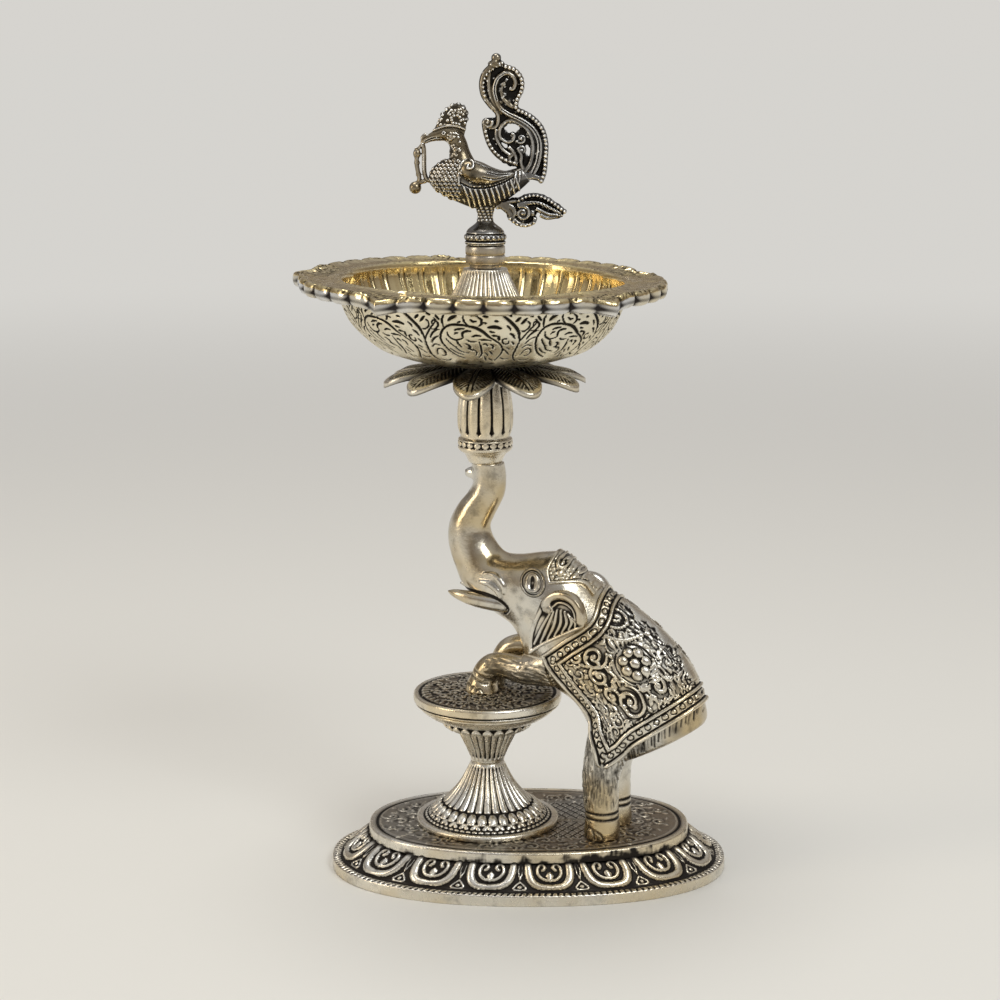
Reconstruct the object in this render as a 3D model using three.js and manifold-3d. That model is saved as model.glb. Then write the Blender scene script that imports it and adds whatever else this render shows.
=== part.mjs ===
// Elephant oil lamp, silver plated cast white metal, in millimetres with +Z up.
// The pedestal axis is at X = 0, Y = 0. The elephant faces -X and carries the bowl on its raised trunk.
// At the end the whole lamp is moved so that its box stands on the origin.

import * as THREE from 'three';
import { mergeVertices } from 'three/addons/utils/BufferGeometryUtils.js';
import Module from 'manifold-3d';

const wasm = await Module();
wasm.setup();

// Clearances
const BORE_CLEARANCE = 0.3;
const RUNNING_GAP = 0.2;
const SOCKET_END_GAP = 0.8;

// Oval base
const BASE_CENTRE_X = 11.5;
const OVAL_POWER = 2.25;
const SKIRT_HALF_LENGTH = 55;
const SKIRT_HALF_DEPTH = 35;
const SKIRT_EDGE_HEIGHT = 3;
const SKIRT_HEIGHT = 9.5;
const SKIRT_WALL = 1.8;
const SKIRT_LAND = 4.4;
const PANEL_COUNT = 16;
const PANEL_START = 0.33;
const PANEL_RELIEF = 0.8;
const RIM_LAND = 2.4;
const SKIRT_STEP = 0.6;
const DECK_HALF_LENGTH = 44.6;
const DECK_HALF_DEPTH = 27.8;
const DECK_HEIGHT = 3;
const DECK_PLATE = 1.8;
const DECK_EDGE_ROUND = 0.5;

// Pedestal under the front feet
const STOOL_FOOT_RADIUS = 19.8;
const STOOL_FOOT_HEIGHT = 17.5;
const STOOL_WAIST_RADIUS = 4.7;
const STOOL_FOOT_FLUTES = 30;
const STOOL_CUP_HEIGHT = 16.3;
const STOOL_CUP_RADIUS = 18.8;
const STOOL_CUP_FLUTES = 24;
const STOOL_BEAD_RADIUS = 11.3;
const STOOL_TOP_RADIUS = 20.5;
const STOOL_TOP_THICKNESS = 3.7;
const DISC_EDGE_ROUND = 0.5;
const DISC_GROOVE = 0.6;
const FLUTE_DEPTH = 0.45;

// Fasteners
const STOOL_ROD_RADIUS = 2;
const STOOL_ROD_SOCKET = 2.2;
const STOOL_ROD_TAIL = 1.4;
const NUT_ACROSS_FLATS = 7;
const NUT_HEIGHT = 3.2;
const ROD_WASHER_RADIUS = 4.6;
const WASHER_THICKNESS = 0.8;
const FOOT_SCREW_RADIUS = 1.5;
const FOOT_SCREW_BITE = 9;
const FOOT_SCREW_HEAD_RADIUS = 2.8;
const FOOT_SCREW_HEAD_HEIGHT = 1.8;
const FOOT_WASHER_RADIUS = 3.5;

// Elephant, in its own frame: u from trunk to rump, v to its far side, w above the deck
const ELEPHANT_YAW = THREE.MathUtils.degToRad(18);
const STEM_X = -0.6;
const STEM_Y = 3;
const TRUNK_TOP = 101.5;
const REAR_FOOT_U = 35.2;
const REAR_STANCE = 6.5;
const REAR_LEG_RADIUS = 5;
const FRONT_STANCE = 3.4;
const FORELEG_RADIUS = 3.1;
const CLOTH_THICKNESS = 0.7;
const EAR_THICKNESS = 1.4;

// Stem, petals and bowl
const STEM_CUP_HEIGHT = 22.6;
const STEM_FOOT_RADIUS = 4.6;
const STEM_BEAD_RADIUS = 7.6;
const STEM_BULB_RADIUS = 7.7;
const STEM_FLUTES = 12;
const STUD_RADIUS = 2;
const STUD_BITE = 8;
const PETAL_COUNT = 10;
const PETAL_TURN = THREE.MathUtils.degToRad(9);
const PETAL_REACH = 27.6;
const PETAL_DROOP = 3.6;
const PETAL_TIP_CURL = 1.7;
const PETAL_THICKNESS = 1.3;
const PETAL_HUB_RADIUS = 7.4;
const PETAL_COLLAR_HEIGHT = 4.9;
const BOWL_LOBES = 5;
const BOWL_TURN = THREE.MathUtils.degToRad(5);
const BOWL_BODY_RADIUS = 38.8;
const BOWL_RIM_RADIUS = 50;
const BOWL_LIP_LENGTH = 2.2;
const BOWL_BASE_RADIUS = 17;
const BOWL_HEIGHT = 23;
const BOWL_WALL = 2;
const BOWL_GADROONS = 8;
const GADROON_DEPTH = 0.9;
const RIM_SCALLOP = 0.9;
const RIM_DIP = 1.2;
const SEAL_RADIUS = 6;
const SEAL_THICKNESS = 0.8;
const CONE_BASE_RADIUS = 19;
const CONE_TOP_RADIUS = 6.3;
const CONE_FLUTES = 40;
const CONE_ABOVE_RIM = 2;
const NUT_STEP_RADIUS = 4.2;
const NUT_STEP_HEIGHT = 1;
const COLLAR_NUT_RADIUS = 5.3;
const COLLAR_NUT_HEIGHT = 5;
const COLLAR_NUT_CHAMFER = 0.4;

// Peacock
const FINIAL_FOOT_RADIUS = 5.5;
const FINIAL_FOOT_HEIGHT = 6;
const FINIAL_POST_RADIUS = 1.8;
const FINIAL_POST_HEIGHT = 6;
const PEACOCK_HALF_WIDTH = 4.6;
const CREST_THICKNESS = 2.8;
const TAIL_THICKNESS = 2.4;
const TRAIN_THICKNESS = 3;
const STUD_IN_FINIAL = 4;

// Finishes
const plated = new THREE.MeshStandardMaterial({ color: 0xb9b2a1, roughness: 0.3, metalness: 1 });
const darkPlated = new THREE.MeshStandardMaterial({ color: 0x6f675b, roughness: 0.42, metalness: 1 });
const goldenPlated = new THREE.MeshStandardMaterial({ color: 0xcdb678, roughness: 0.26, metalness: 1 });
const steel = new THREE.MeshStandardMaterial({ color: 0x8d8f92, roughness: 0.38, metalness: 1 });
const sealRubber = new THREE.MeshStandardMaterial({ color: 0x2a2825, roughness: 0.8, metalness: 0 });

// Levels of the stack above the table
const deckTop = SKIRT_HEIGHT + DECK_HEIGHT;
const deckUnderside = deckTop - DECK_PLATE;
const waistLevel = deckTop + STOOL_FOOT_HEIGHT;
const cupTop = waistLevel + STOOL_CUP_HEIGHT;
const stoolTop = cupTop + STOOL_TOP_THICKNESS;
const trunkTop = deckTop + TRUNK_TOP;
const stemTop = trunkTop + STEM_CUP_HEIGHT;
const collarBottom = stemTop + RUNNING_GAP;
const collarTop = collarBottom + PETAL_COLLAR_HEIGHT;
const bowlBottom = collarTop + RUNNING_GAP;
const bowlFloor = bowlBottom + BOWL_WALL;
const bowlRim = bowlBottom + BOWL_HEIGHT;
const coneTop = bowlRim + CONE_ABOVE_RIM;
const nutBottom = coneTop + RUNNING_GAP;
const nutTop = nutBottom + NUT_STEP_HEIGHT + COLLAR_NUT_HEIGHT;
const finialBottom = nutTop + RUNNING_GAP;
const finialFootTop = finialBottom + FINIAL_FOOT_HEIGHT;
const birdLevel = finialFootTop + FINIAL_POST_HEIGHT;

// Shapes

// A closed body from rings of equal count. Ends are capped, or joined to each other when looped.
function loft(rings, looped = false) {
  const count = rings[0].length;
  const positions = rings.flat().flatMap((p) => [p.x, p.y, p.z]);
  const index = [];
  const steps = looped ? rings.length : rings.length - 1;
  for (let i = 0; i < steps; i++) {
    const low = i * count;
    const high = ((i + 1) % rings.length) * count;
    for (let j = 0; j < count; j++) {
      const k = (j + 1) % count;
      index.push(low + j, low + k, high + k, low + j, high + k, high + j);
    }
  }
  if (!looped) {
    for (const [ring, flip] of [[0, true], [rings.length - 1, false]]) {
      const middle = new THREE.Vector3();
      rings[ring].forEach((p) => middle.addScaledVector(p, 1 / count));
      const centre = positions.length / 3;
      positions.push(middle.x, middle.y, middle.z);
      for (let j = 0; j < count; j++) {
        const a = ring * count + j;
        const b = ring * count + ((j + 1) % count);
        index.push(centre, flip ? b : a, flip ? a : b);
      }
    }
  }
  return outward(positions, index);
}

// Turns the faces out if the body's signed volume is negative, and drops faces without area.
function outward(positions, index) {
  const geometry = new THREE.BufferGeometry();
  geometry.setAttribute('position', new THREE.Float32BufferAttribute(positions, 3));
  geometry.setIndex(index);
  const merged = mergeVertices(geometry, 1e-5);
  const points = merged.getAttribute('position');
  const [a, b, c] = [new THREE.Vector3(), new THREE.Vector3(), new THREE.Vector3()];
  const faces = [];
  let volume = 0;
  for (let i = 0; i < merged.index.count; i += 3) {
    const face = [0, 1, 2].map((k) => merged.index.getX(i + k));
    if (new Set(face).size < 3) continue;
    a.fromBufferAttribute(points, face[0]);
    b.fromBufferAttribute(points, face[1]);
    c.fromBufferAttribute(points, face[2]);
    volume += a.dot(b.cross(c));
    faces.push(face);
  }
  merged.setIndex(faces.map((f) => (volume < 0 ? [f[0], f[2], f[1]] : f)).flat());
  return merged;
}

// The same body without the faces that have no area
function solidOnly(geometry) {
  const positions = Array.from(geometry.getAttribute('position').array);
  const index = geometry.index
    ? Array.from(geometry.index.array)
    : Array.from({ length: positions.length / 3 }, (_, i) => i);
  return outward(positions, index);
}

function toSolid(geometry) {
  const bare = geometry.clone();
  bare.deleteAttribute('normal');
  bare.deleteAttribute('uv');
  const merged = mergeVertices(bare, 1e-5);
  return new wasm.Manifold(new wasm.Mesh({
    numProp: 3,
    vertProperties: merged.getAttribute('position').array,
    triVerts: Uint32Array.from(merged.index.array),
  }));
}

function toGeometry(solid) {
  const mesh = solid.getMesh();
  const geometry = new THREE.BufferGeometry();
  geometry.setAttribute('position', new THREE.BufferAttribute(Float32Array.from(mesh.vertProperties), 3));
  geometry.setIndex(Array.from(mesh.triVerts));
  geometry.computeVertexNormals();
  return geometry;
}

const join = (geometries) => geometries.map(toSolid).reduce((sum, solid) => sum.add(solid));
const cut = (solid, tools) => tools.map(toSolid).reduce((rest, tool) => rest.subtract(tool), solid);

// A turned body: profile points [radius, height] that run from axis to axis or close on themselves.
function turned(profile, segments = 40) {
  const closed = profile[0][0] > 0 ? [...profile, profile[0]] : profile;
  const lathe = new THREE.LatheGeometry(closed.map(([r, z]) => new THREE.Vector2(r, z)), segments);
  return solidOnly(lathe.rotateX(Math.PI / 2));
}

// A turned body whose radius is also a function of the angle, with a round bore through it.
// The first station stands at the start angle.
function boredTurn(profile, segments, bore, bottom, top, start = 0) {
  const rings = profile.map((row) => Array.from({ length: segments }, (_, i) => {
    const angle = start + (i / segments) * Math.PI * 2;
    const [r, z] = row(angle);
    return new THREE.Vector3(r * Math.cos(angle), r * Math.sin(angle), z);
  }));
  return toGeometry(cut(toSolid(loft(rings)), [rod(bore, bottom - 1, top + 1)]));
}

function rod(radius, bottom, top, segments = 16) {
  return new THREE.CylinderGeometry(radius, radius, top - bottom, segments)
    .rotateX(Math.PI / 2).translate(0, 0, (top + bottom) / 2);
}

// Points of an oval at equal steps along its edge. Relief raises point i square to a 45 degree slope.
function oval(halfLength, halfDepth, z, count, relief = () => 0, start = 0) {
  const fine = Array.from({ length: 721 }, (_, i) => {
    const angle = (i / 720) * Math.PI * 2;
    const power = 2 / OVAL_POWER;
    const x = halfLength * Math.sign(Math.cos(angle)) * Math.abs(Math.cos(angle)) ** power;
    const y = halfDepth * Math.sign(Math.sin(angle)) * Math.abs(Math.sin(angle)) ** power;
    return new THREE.Vector2(x, y);
  });
  const lengths = [0];
  for (let i = 1; i < fine.length; i++) lengths.push(lengths[i - 1] + fine[i].distanceTo(fine[i - 1]));
  const points = [];
  for (let i = 0; i < count; i++) {
    const target = lengths[720] * ((i / count + start) % 1);
    const at = lengths.findIndex((length) => length > target) - 1;
    const share = (target - lengths[at]) / (lengths[at + 1] - lengths[at]);
    const p = fine[at].clone().lerp(fine[at + 1], share);
    const rise = relief(i) * Math.SQRT1_2;
    const scale = 1 + rise / p.length();
    points.push(new THREE.Vector3(BASE_CENTRE_X + p.x * scale, p.y * scale, z + rise));
  }
  return points;
}

const lamp = new THREE.Group();
lamp.name = 'elephant_oil_lamp';

function addPiece(name, geometry, material, parent = lamp) {
  const mesh = new THREE.Mesh(geometry, material);
  mesh.name = name;
  parent.add(mesh);
  return mesh;
}

// Oval skirt: a sloping ring of lotus panels over an upright edge, open underneath.
// Each panel has a raised U band that holds a heart. Its eight stations start between two panels.
const PANEL_FOOT = [0, 0, 0.9, 1, 1, 1, 0.9, 0];
const PANEL_MIDDLE = [0, 1, 0.9, 0.3, 1, 0.3, 0.9, 1];
const PANEL_TOP = [0, 1, 0.9, 0, 0.5, 0, 0.9, 1];
const PANEL_STATIONS = PANEL_FOOT.length;
const SKIRT_STATIONS = PANEL_COUNT * PANEL_STATIONS;
const slopeEdge = (half, deckHalf, share) => (
  THREE.MathUtils.lerp(half - RIM_LAND, deckHalf + SKIRT_STEP, share)
);
const PANEL_TURN = (PANEL_START + 0.5) / PANEL_COUNT;
const slopeRow = (share, levelShare, panel) => oval(
  slopeEdge(SKIRT_HALF_LENGTH, DECK_HALF_LENGTH, share),
  slopeEdge(SKIRT_HALF_DEPTH, DECK_HALF_DEPTH, share),
  THREE.MathUtils.lerp(SKIRT_EDGE_HEIGHT, SKIRT_HEIGHT, levelShare), SKIRT_STATIONS,
  (i) => (panel ? PANEL_RELIEF * (panel[i % PANEL_STATIONS] - 0.5) : 0), PANEL_TURN,
);
const rimRing = (z) => oval(SKIRT_HALF_LENGTH, SKIRT_HALF_DEPTH, z, SKIRT_STATIONS, () => 0, PANEL_TURN);
const skirtShell = loft([
  rimRing(0),
  rimRing(SKIRT_EDGE_HEIGHT),
  slopeRow(0, 0.03),
  slopeRow(0.18, 0.2, PANEL_FOOT),
  slopeRow(0.5, 0.55, PANEL_MIDDLE),
  slopeRow(0.82, 0.86, PANEL_TOP),
  slopeRow(1, 1),
]);
const HOLLOW_STATIONS = 40;
const hollowRing = (inset, z) => (
  oval(SKIRT_HALF_LENGTH - inset, SKIRT_HALF_DEPTH - inset, z, HOLLOW_STATIONS)
);
const mouthRing = (z) => (
  oval(DECK_HALF_LENGTH - SKIRT_LAND, DECK_HALF_DEPTH - SKIRT_LAND, z, HOLLOW_STATIONS)
);
const slopeUnderside = SKIRT_HEIGHT - SKIRT_WALL;
const skirtHollow = loft([
  hollowRing(SKIRT_WALL, -1),
  hollowRing(SKIRT_WALL, SKIRT_WALL * 0.3),
  hollowRing(SKIRT_WALL + RIM_LAND, SKIRT_EDGE_HEIGHT - SKIRT_WALL * 0.5),
  mouthRing(slopeUnderside),
]);
const skirtMouth = loft([mouthRing(slopeUnderside - 1), mouthRing(SKIRT_HEIGHT + 1)]);
addPiece('base_skirt', toGeometry(cut(toSolid(skirtShell), [skirtHollow, skirtMouth])), plated);

// Foot positions of the elephant on the deck, in the lamp's frame
const elephantToLamp = new THREE.Matrix4()
  .makeRotationZ(-ELEPHANT_YAW)
  .setPosition(0, STEM_Y, deckTop);
const rearFeet = [-1, 1].map((side) => (
  new THREE.Vector3(REAR_FOOT_U, side * REAR_STANCE, 0).applyMatrix4(elephantToLamp)
));

// Raised oval deck: a plate with a short wall, drilled for the pedestal rod and the foot screws
const DECK_STATIONS = 40;
const deckShell = loft([
  oval(DECK_HALF_LENGTH, DECK_HALF_DEPTH, SKIRT_HEIGHT, DECK_STATIONS),
  oval(DECK_HALF_LENGTH, DECK_HALF_DEPTH, deckTop - DECK_EDGE_ROUND, DECK_STATIONS),
  oval(DECK_HALF_LENGTH - DECK_EDGE_ROUND, DECK_HALF_DEPTH - DECK_EDGE_ROUND, deckTop, DECK_STATIONS),
]);
const deckHollow = loft([
  oval(DECK_HALF_LENGTH - DECK_PLATE, DECK_HALF_DEPTH - DECK_PLATE, SKIRT_HEIGHT - 1, DECK_STATIONS),
  oval(DECK_HALF_LENGTH - DECK_PLATE, DECK_HALF_DEPTH - DECK_PLATE, deckUnderside, DECK_STATIONS),
]);
const deckHole = (radius, place) => rod(radius + BORE_CLEARANCE, SKIRT_HEIGHT, deckTop + 1)
  .translate(place.x, place.y, 0);
addPiece('base_deck', toGeometry(cut(toSolid(deckShell), [
  deckHollow,
  deckHole(STOOL_ROD_RADIUS, new THREE.Vector3()),
  ...rearFeet.map((place) => deckHole(FOOT_SCREW_RADIUS, place)),
])), darkPlated);

// Pedestal: fluted foot, fluted cup and engraved disc, threaded on one rod
const fluted = (count, radius, z, depth) => (angle) => [
  radius - depth * (0.5 - 0.5 * Math.cos(angle * count)), z,
];
const plain = (radius, z) => () => [radius, z];
const rodBore = STOOL_ROD_RADIUS + BORE_CLEARANCE;
const footLevel = (share) => deckTop + STOOL_FOOT_HEIGHT * share;
addPiece('stool_foot', boredTurn([
  plain(STOOL_FOOT_RADIUS, deckTop),
  plain(STOOL_FOOT_RADIUS, footLevel(0.08)),
  fluted(STOOL_FOOT_FLUTES, STOOL_FOOT_RADIUS * 0.87, footLevel(0.17), FLUTE_DEPTH),
  fluted(STOOL_FOOT_FLUTES, STOOL_FOOT_RADIUS * 0.73, footLevel(0.3), FLUTE_DEPTH * 2),
  fluted(STOOL_FOOT_FLUTES, STOOL_FOOT_RADIUS * 0.52, footLevel(0.5), FLUTE_DEPTH * 1.4),
  fluted(STOOL_FOOT_FLUTES, STOOL_WAIST_RADIUS + 0.3, footLevel(0.93), FLUTE_DEPTH),
  plain(STOOL_WAIST_RADIUS, waistLevel),
], STOOL_FOOT_FLUTES * 2, rodBore, deckTop, waistLevel), plated);

const cupLevel = (share) => waistLevel + STOOL_CUP_HEIGHT * share;
addPiece('stool_cup', boredTurn([
  plain(STOOL_WAIST_RADIUS, waistLevel),
  fluted(STOOL_CUP_FLUTES, STOOL_BEAD_RADIUS * 0.58, cupLevel(0.28), FLUTE_DEPTH * 1.2),
  fluted(STOOL_CUP_FLUTES, STOOL_BEAD_RADIUS * 0.82, cupLevel(0.47), FLUTE_DEPTH * 1.6),
  fluted(STOOL_CUP_FLUTES, STOOL_BEAD_RADIUS, cupLevel(0.5), FLUTE_DEPTH * 2),
  fluted(STOOL_CUP_FLUTES, STOOL_BEAD_RADIUS, cupLevel(0.58), FLUTE_DEPTH * 2),
  plain(STOOL_BEAD_RADIUS + 1, cupLevel(0.61)),
  plain(STOOL_CUP_RADIUS * 0.87, cupLevel(0.78)),
  plain(STOOL_CUP_RADIUS, cupTop),
], STOOL_CUP_FLUTES * 2, rodBore, waistLevel, cupTop), plated);

const discLevel = (share) => cupTop + STOOL_TOP_THICKNESS * share;
addPiece('stool_top', turned([
  [0, discLevel(1)],
  [STOOL_TOP_RADIUS - DISC_EDGE_ROUND, discLevel(1)],
  [STOOL_TOP_RADIUS, discLevel(0.88)],
  [STOOL_TOP_RADIUS, discLevel(0.55)],
  [STOOL_TOP_RADIUS - DISC_GROOVE, discLevel(0.47)],
  [STOOL_TOP_RADIUS - DISC_GROOVE / 2, discLevel(0.38)],
  [STOOL_CUP_RADIUS, cupTop],
  [rodBore, cupTop],
  [rodBore, cupTop + STOOL_ROD_SOCKET],
  [0, cupTop + STOOL_ROD_SOCKET],
], 32), darkPlated);

// Pedestal rod with its washer and nut under the deck
const washerBottom = deckUnderside - WASHER_THICKNESS;
const rodEnd = washerBottom - NUT_HEIGHT - STOOL_ROD_TAIL;
addPiece('stool_rod', rod(STOOL_ROD_RADIUS, rodEnd, cupTop + STOOL_ROD_SOCKET - BORE_CLEARANCE), steel);
addPiece('stool_rod_washer', turned([
  [rodBore, washerBottom], [ROD_WASHER_RADIUS, washerBottom],
  [ROD_WASHER_RADIUS, deckUnderside], [rodBore, deckUnderside],
], 16), steel);

function hexNut(bottom, top) {
  const outline = new THREE.Shape();
  for (let i = 0; i < 6; i++) {
    const angle = (i * Math.PI) / 3;
    const radius = NUT_ACROSS_FLATS / 2 / Math.cos(Math.PI / 6);
    outline[i ? 'lineTo' : 'moveTo'](radius * Math.cos(angle), radius * Math.sin(angle));
  }
  outline.holes.push(new THREE.Path().absarc(0, 0, rodBore, 0, Math.PI * 2, true));
  const options = { depth: top - bottom, bevelEnabled: false, curveSegments: 16 };
  return new THREE.ExtrudeGeometry(outline, options).translate(0, 0, bottom);
}
addPiece('stool_rod_nut', hexNut(washerBottom - NUT_HEIGHT, washerBottom), steel);

// Elephant: one lofted body from trunk to rump, with legs, ears, tusks and the raised cloth joined on.
// Each section is [left or lower point u, w, right or upper point u, w, half width], w above the deck.
const elephantSections = [
  [-4.4, TRUNK_TOP, 4.6, TRUNK_TOP, 4.5],
  [-3.8, TRUNK_TOP - 4.5, 5.2, TRUNK_TOP - 4, 4.2],
  [-5.1, 93.5, 4.7, 92.5, 4.5],
  [-8.2, 89.6, 1.9, 86.6, 4.8],
  [-10.6, 85, 0.7, 83.8, 5.1],
  [-11.2, 80.7, 1.1, 81.4, 5.5],
  [-10.6, 76.5, 2.6, 78.7, 6],
  [-9, 72, 5.3, 76.2, 6.7],
  [-7, 67.4, 9.4, 76.1, 7.6],
  [-3, 63.2, 13.2, 76.8, 8.6],
  [3, 59.4, 17.1, 77.4, 9.3],
  [7.5, 56.5, 21, 77.5, 9.7],
  [10, 52.6, 25, 75, 10.2],
  [11.6, 47.3, 30, 70.6, 11.3],
  [15.4, 42.8, 37.3, 65.6, 12.4],
  [20.8, 39.6, 45.2, 60.2, 13],
  [26, 36, 52, 54.2, 13],
  [29.6, 30.4, 57.4, 47.5, 12.6],
  [32.6, 24.8, 61, 40.6, 11.6],
  [38, 20.6, 62.4, 35.2, 10],
  [43, 22, 61.8, 32.8, 7.5],
];
const SECTION_POINTS = 16;

function elephantHull(extra) {
  return loft(elephantSections.map(([lowU, lowW, highU, highW, halfWidth]) => {
    const middle = new THREE.Vector3((lowU + highU) / 2, 0, (lowW + highW) / 2);
    const arm = new THREE.Vector3((highU - lowU) / 2, 0, (highW - lowW) / 2);
    arm.setLength(arm.length() + extra);
    return Array.from({ length: SECTION_POINTS }, (_, i) => {
      const angle = (i / SECTION_POINTS) * Math.PI * 2;
      const side = Math.sign(Math.sin(angle)) * Math.abs(Math.sin(angle)) ** 0.9;
      const lift = Math.sign(Math.cos(angle)) * Math.abs(Math.cos(angle)) ** 0.9;
      return middle.clone().addScaledVector(arm, lift)
        .add(new THREE.Vector3(0, side * (halfWidth + extra), 0));
    });
  }));
}

// A limb along points [u, v, w, radius], each ring square to the path in the side view
function limb(path, count = 10) {
  const centres = path.map(([u, v, w]) => new THREE.Vector3(u, v, w));
  return loft(path.map(([, , , radius], i) => {
    const before = centres[Math.max(i - 1, 0)];
    const after = centres[Math.min(i + 1, path.length - 1)];
    const along = after.clone().sub(before).normalize();
    const across = new THREE.Vector3(0, 1, 0).cross(along).normalize();
    const side = along.clone().cross(across);
    return Array.from({ length: count }, (_, j) => {
      const angle = (j / count) * Math.PI * 2;
      return centres[i].clone()
        .addScaledVector(across, radius * Math.cos(angle))
        .addScaledVector(side, radius * Math.sin(angle));
    });
  }));
}

const rearLeg = (side) => limb([
  [41.5, side * (REAR_STANCE - 1.5), 36, REAR_LEG_RADIUS * 1.7],
  [38.2, side * (REAR_STANCE - 0.4), 29.5, REAR_LEG_RADIUS * 1.45],
  [REAR_FOOT_U + 0.7, side * REAR_STANCE, 23, REAR_LEG_RADIUS * 1.18],
  [REAR_FOOT_U - 0.5, side * REAR_STANCE, 17, REAR_LEG_RADIUS * 1.04],
  [REAR_FOOT_U - 0.4, side * REAR_STANCE, 11, REAR_LEG_RADIUS],
  [REAR_FOOT_U - 0.1, side * REAR_STANCE, 6, REAR_LEG_RADIUS * 0.95],
  [REAR_FOOT_U, side * REAR_STANCE, 3, REAR_LEG_RADIUS],
  [REAR_FOOT_U, side * REAR_STANCE, 0, REAR_LEG_RADIUS * 0.98],
], 12);

const stoolRise = stoolTop - deckTop;
const nearForeleg = limb([
  [20, -5, 47, 6.4],
  [12.5, -5, 44.6, FORELEG_RADIUS * 1.35],
  [6.2, -FRONT_STANCE - 0.5, stoolRise + 7.3, FORELEG_RADIUS * 1.05],
  [1.4, -FRONT_STANCE, stoolRise + 6.9, FORELEG_RADIUS],
  [-1.6, -FRONT_STANCE, stoolRise + 5.4, FORELEG_RADIUS],
  [-2.8, -FRONT_STANCE, stoolRise + 2.6, FORELEG_RADIUS * 0.95],
  [-3, -FRONT_STANCE, stoolRise, FORELEG_RADIUS * 1.1],
  [-3, -FRONT_STANCE, stoolRise - 2, FORELEG_RADIUS * 1.1],
]);
const farForeleg = limb([
  [20, 5, 49.5, 6.4],
  [13, 5, 48.8, FORELEG_RADIUS * 1.35],
  [8.2, FRONT_STANCE + 1, stoolRise + 11.3, FORELEG_RADIUS * 1.1],
  [5, FRONT_STANCE + 0.8, stoolRise + 9.8, FORELEG_RADIUS],
  [3.6, FRONT_STANCE + 0.6, stoolRise + 6.5, FORELEG_RADIUS * 0.95],
  [3.2, FRONT_STANCE + 0.6, stoolRise + 3, FORELEG_RADIUS * 0.95],
  [3.1, FRONT_STANCE + 0.6, stoolRise, FORELEG_RADIUS * 1.1],
  [3.1, FRONT_STANCE + 0.6, stoolRise - 2, FORELEG_RADIUS * 1.1],
]);

const tusk = (side) => limb([
  [8, side * 5.2, 63.4, 2.2],
  [2.5, side * 6, 63.8, 2.3],
  [-3, side * 6.2, 64.5, 2],
  [-7.4, side * 5.6, 65.3, 1.2],
  [-9.4, side * 5.2, 65.5, 0.35],
], 8);

const trunkLip = limb([
  [-1, 0, TRUNK_TOP - 5, 2.2],
  [-4, 0, TRUNK_TOP - 3, 1.5],
  [-6.4, 0, TRUNK_TOP - 2.4, 0.5],
], 8);

// A plate of the given outline in the side view, from one v to another
function sidePlate(outline, from, to, bevel = 0) {
  const shape = new THREE.Shape(outline.map(([u, w]) => new THREE.Vector2(u, w)));
  const options = {
    depth: to - from - bevel * 2, bevelEnabled: bevel > 0, bevelThickness: bevel, bevelSize: bevel,
    bevelOffset: -bevel, bevelSegments: 1, steps: 1,
  };
  return new THREE.ExtrudeGeometry(shape, options).rotateX(Math.PI / 2).translate(0, to - bevel, 0);
}

const smoothOutline = (points, count) => new THREE.CatmullRomCurve3(
  points.map(([u, w]) => new THREE.Vector3(u, w, 0)), true, 'catmullrom', 0.5,
).getSpacedPoints(count).slice(0, count).map((p) => [p.x, p.y]);

const EAR_ROOT_V = 8.6;
const EAR_FLARE = THREE.MathUtils.degToRad(12);
const EAR_FRONT_U = 16;
const earOutline = smoothOutline([
  [16.4, 63.5], [20.2, 68.4], [25.8, 69.6], [30.4, 65.6], [31.8, 60.6], [24, 57], [18.4, 54.2], [15.2, 51],
], 16);
const ear = (side) => {
  const plate = sidePlate(earOutline, 0, EAR_THICKNESS * 2, EAR_THICKNESS * 0.4);
  plate.translate(-EAR_FRONT_U, 0, 0).rotateZ(EAR_FLARE).translate(EAR_FRONT_U, EAR_ROOT_V, 0);
  if (side > 0) return plate;
  return solidOnly(plate.scale(1, -1, 1));
};

// The saddle cloth is the hull grown by the cloth's thickness, inside the cloth's side outline
const clothOutline = [
  [33, 69.5], [32.6, 66.5], [31.6, 61], [24.6, 56], [19, 51.5], [20.5, 47.6], [25.4, 42], [28.8, 38.3],
  [32.4, 34], [36.4, 28.8], [38.6, 25.4], [40, 21.6], [45, 27.2], [50.6, 31.4], [57.4, 36], [62, 38.6],
  [68, 41], [68, 60], [48, 80], [35, 80],
];
const cloth = toSolid(elephantHull(CLOTH_THICKNESS))
  .intersect(toSolid(sidePlate(clothOutline, -20, 20)));
const headDressOutline = [
  [18.5, 82], [19.5, 74], [18.4, 69.5], [22, 68.6], [27, 70], [31, 66], [36, 70], [27, 82],
];
const headDress = toSolid(elephantHull(CLOTH_THICKNESS * 0.7))
  .intersect(toSolid(sidePlate(headDressOutline, -20, 20)));

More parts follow.
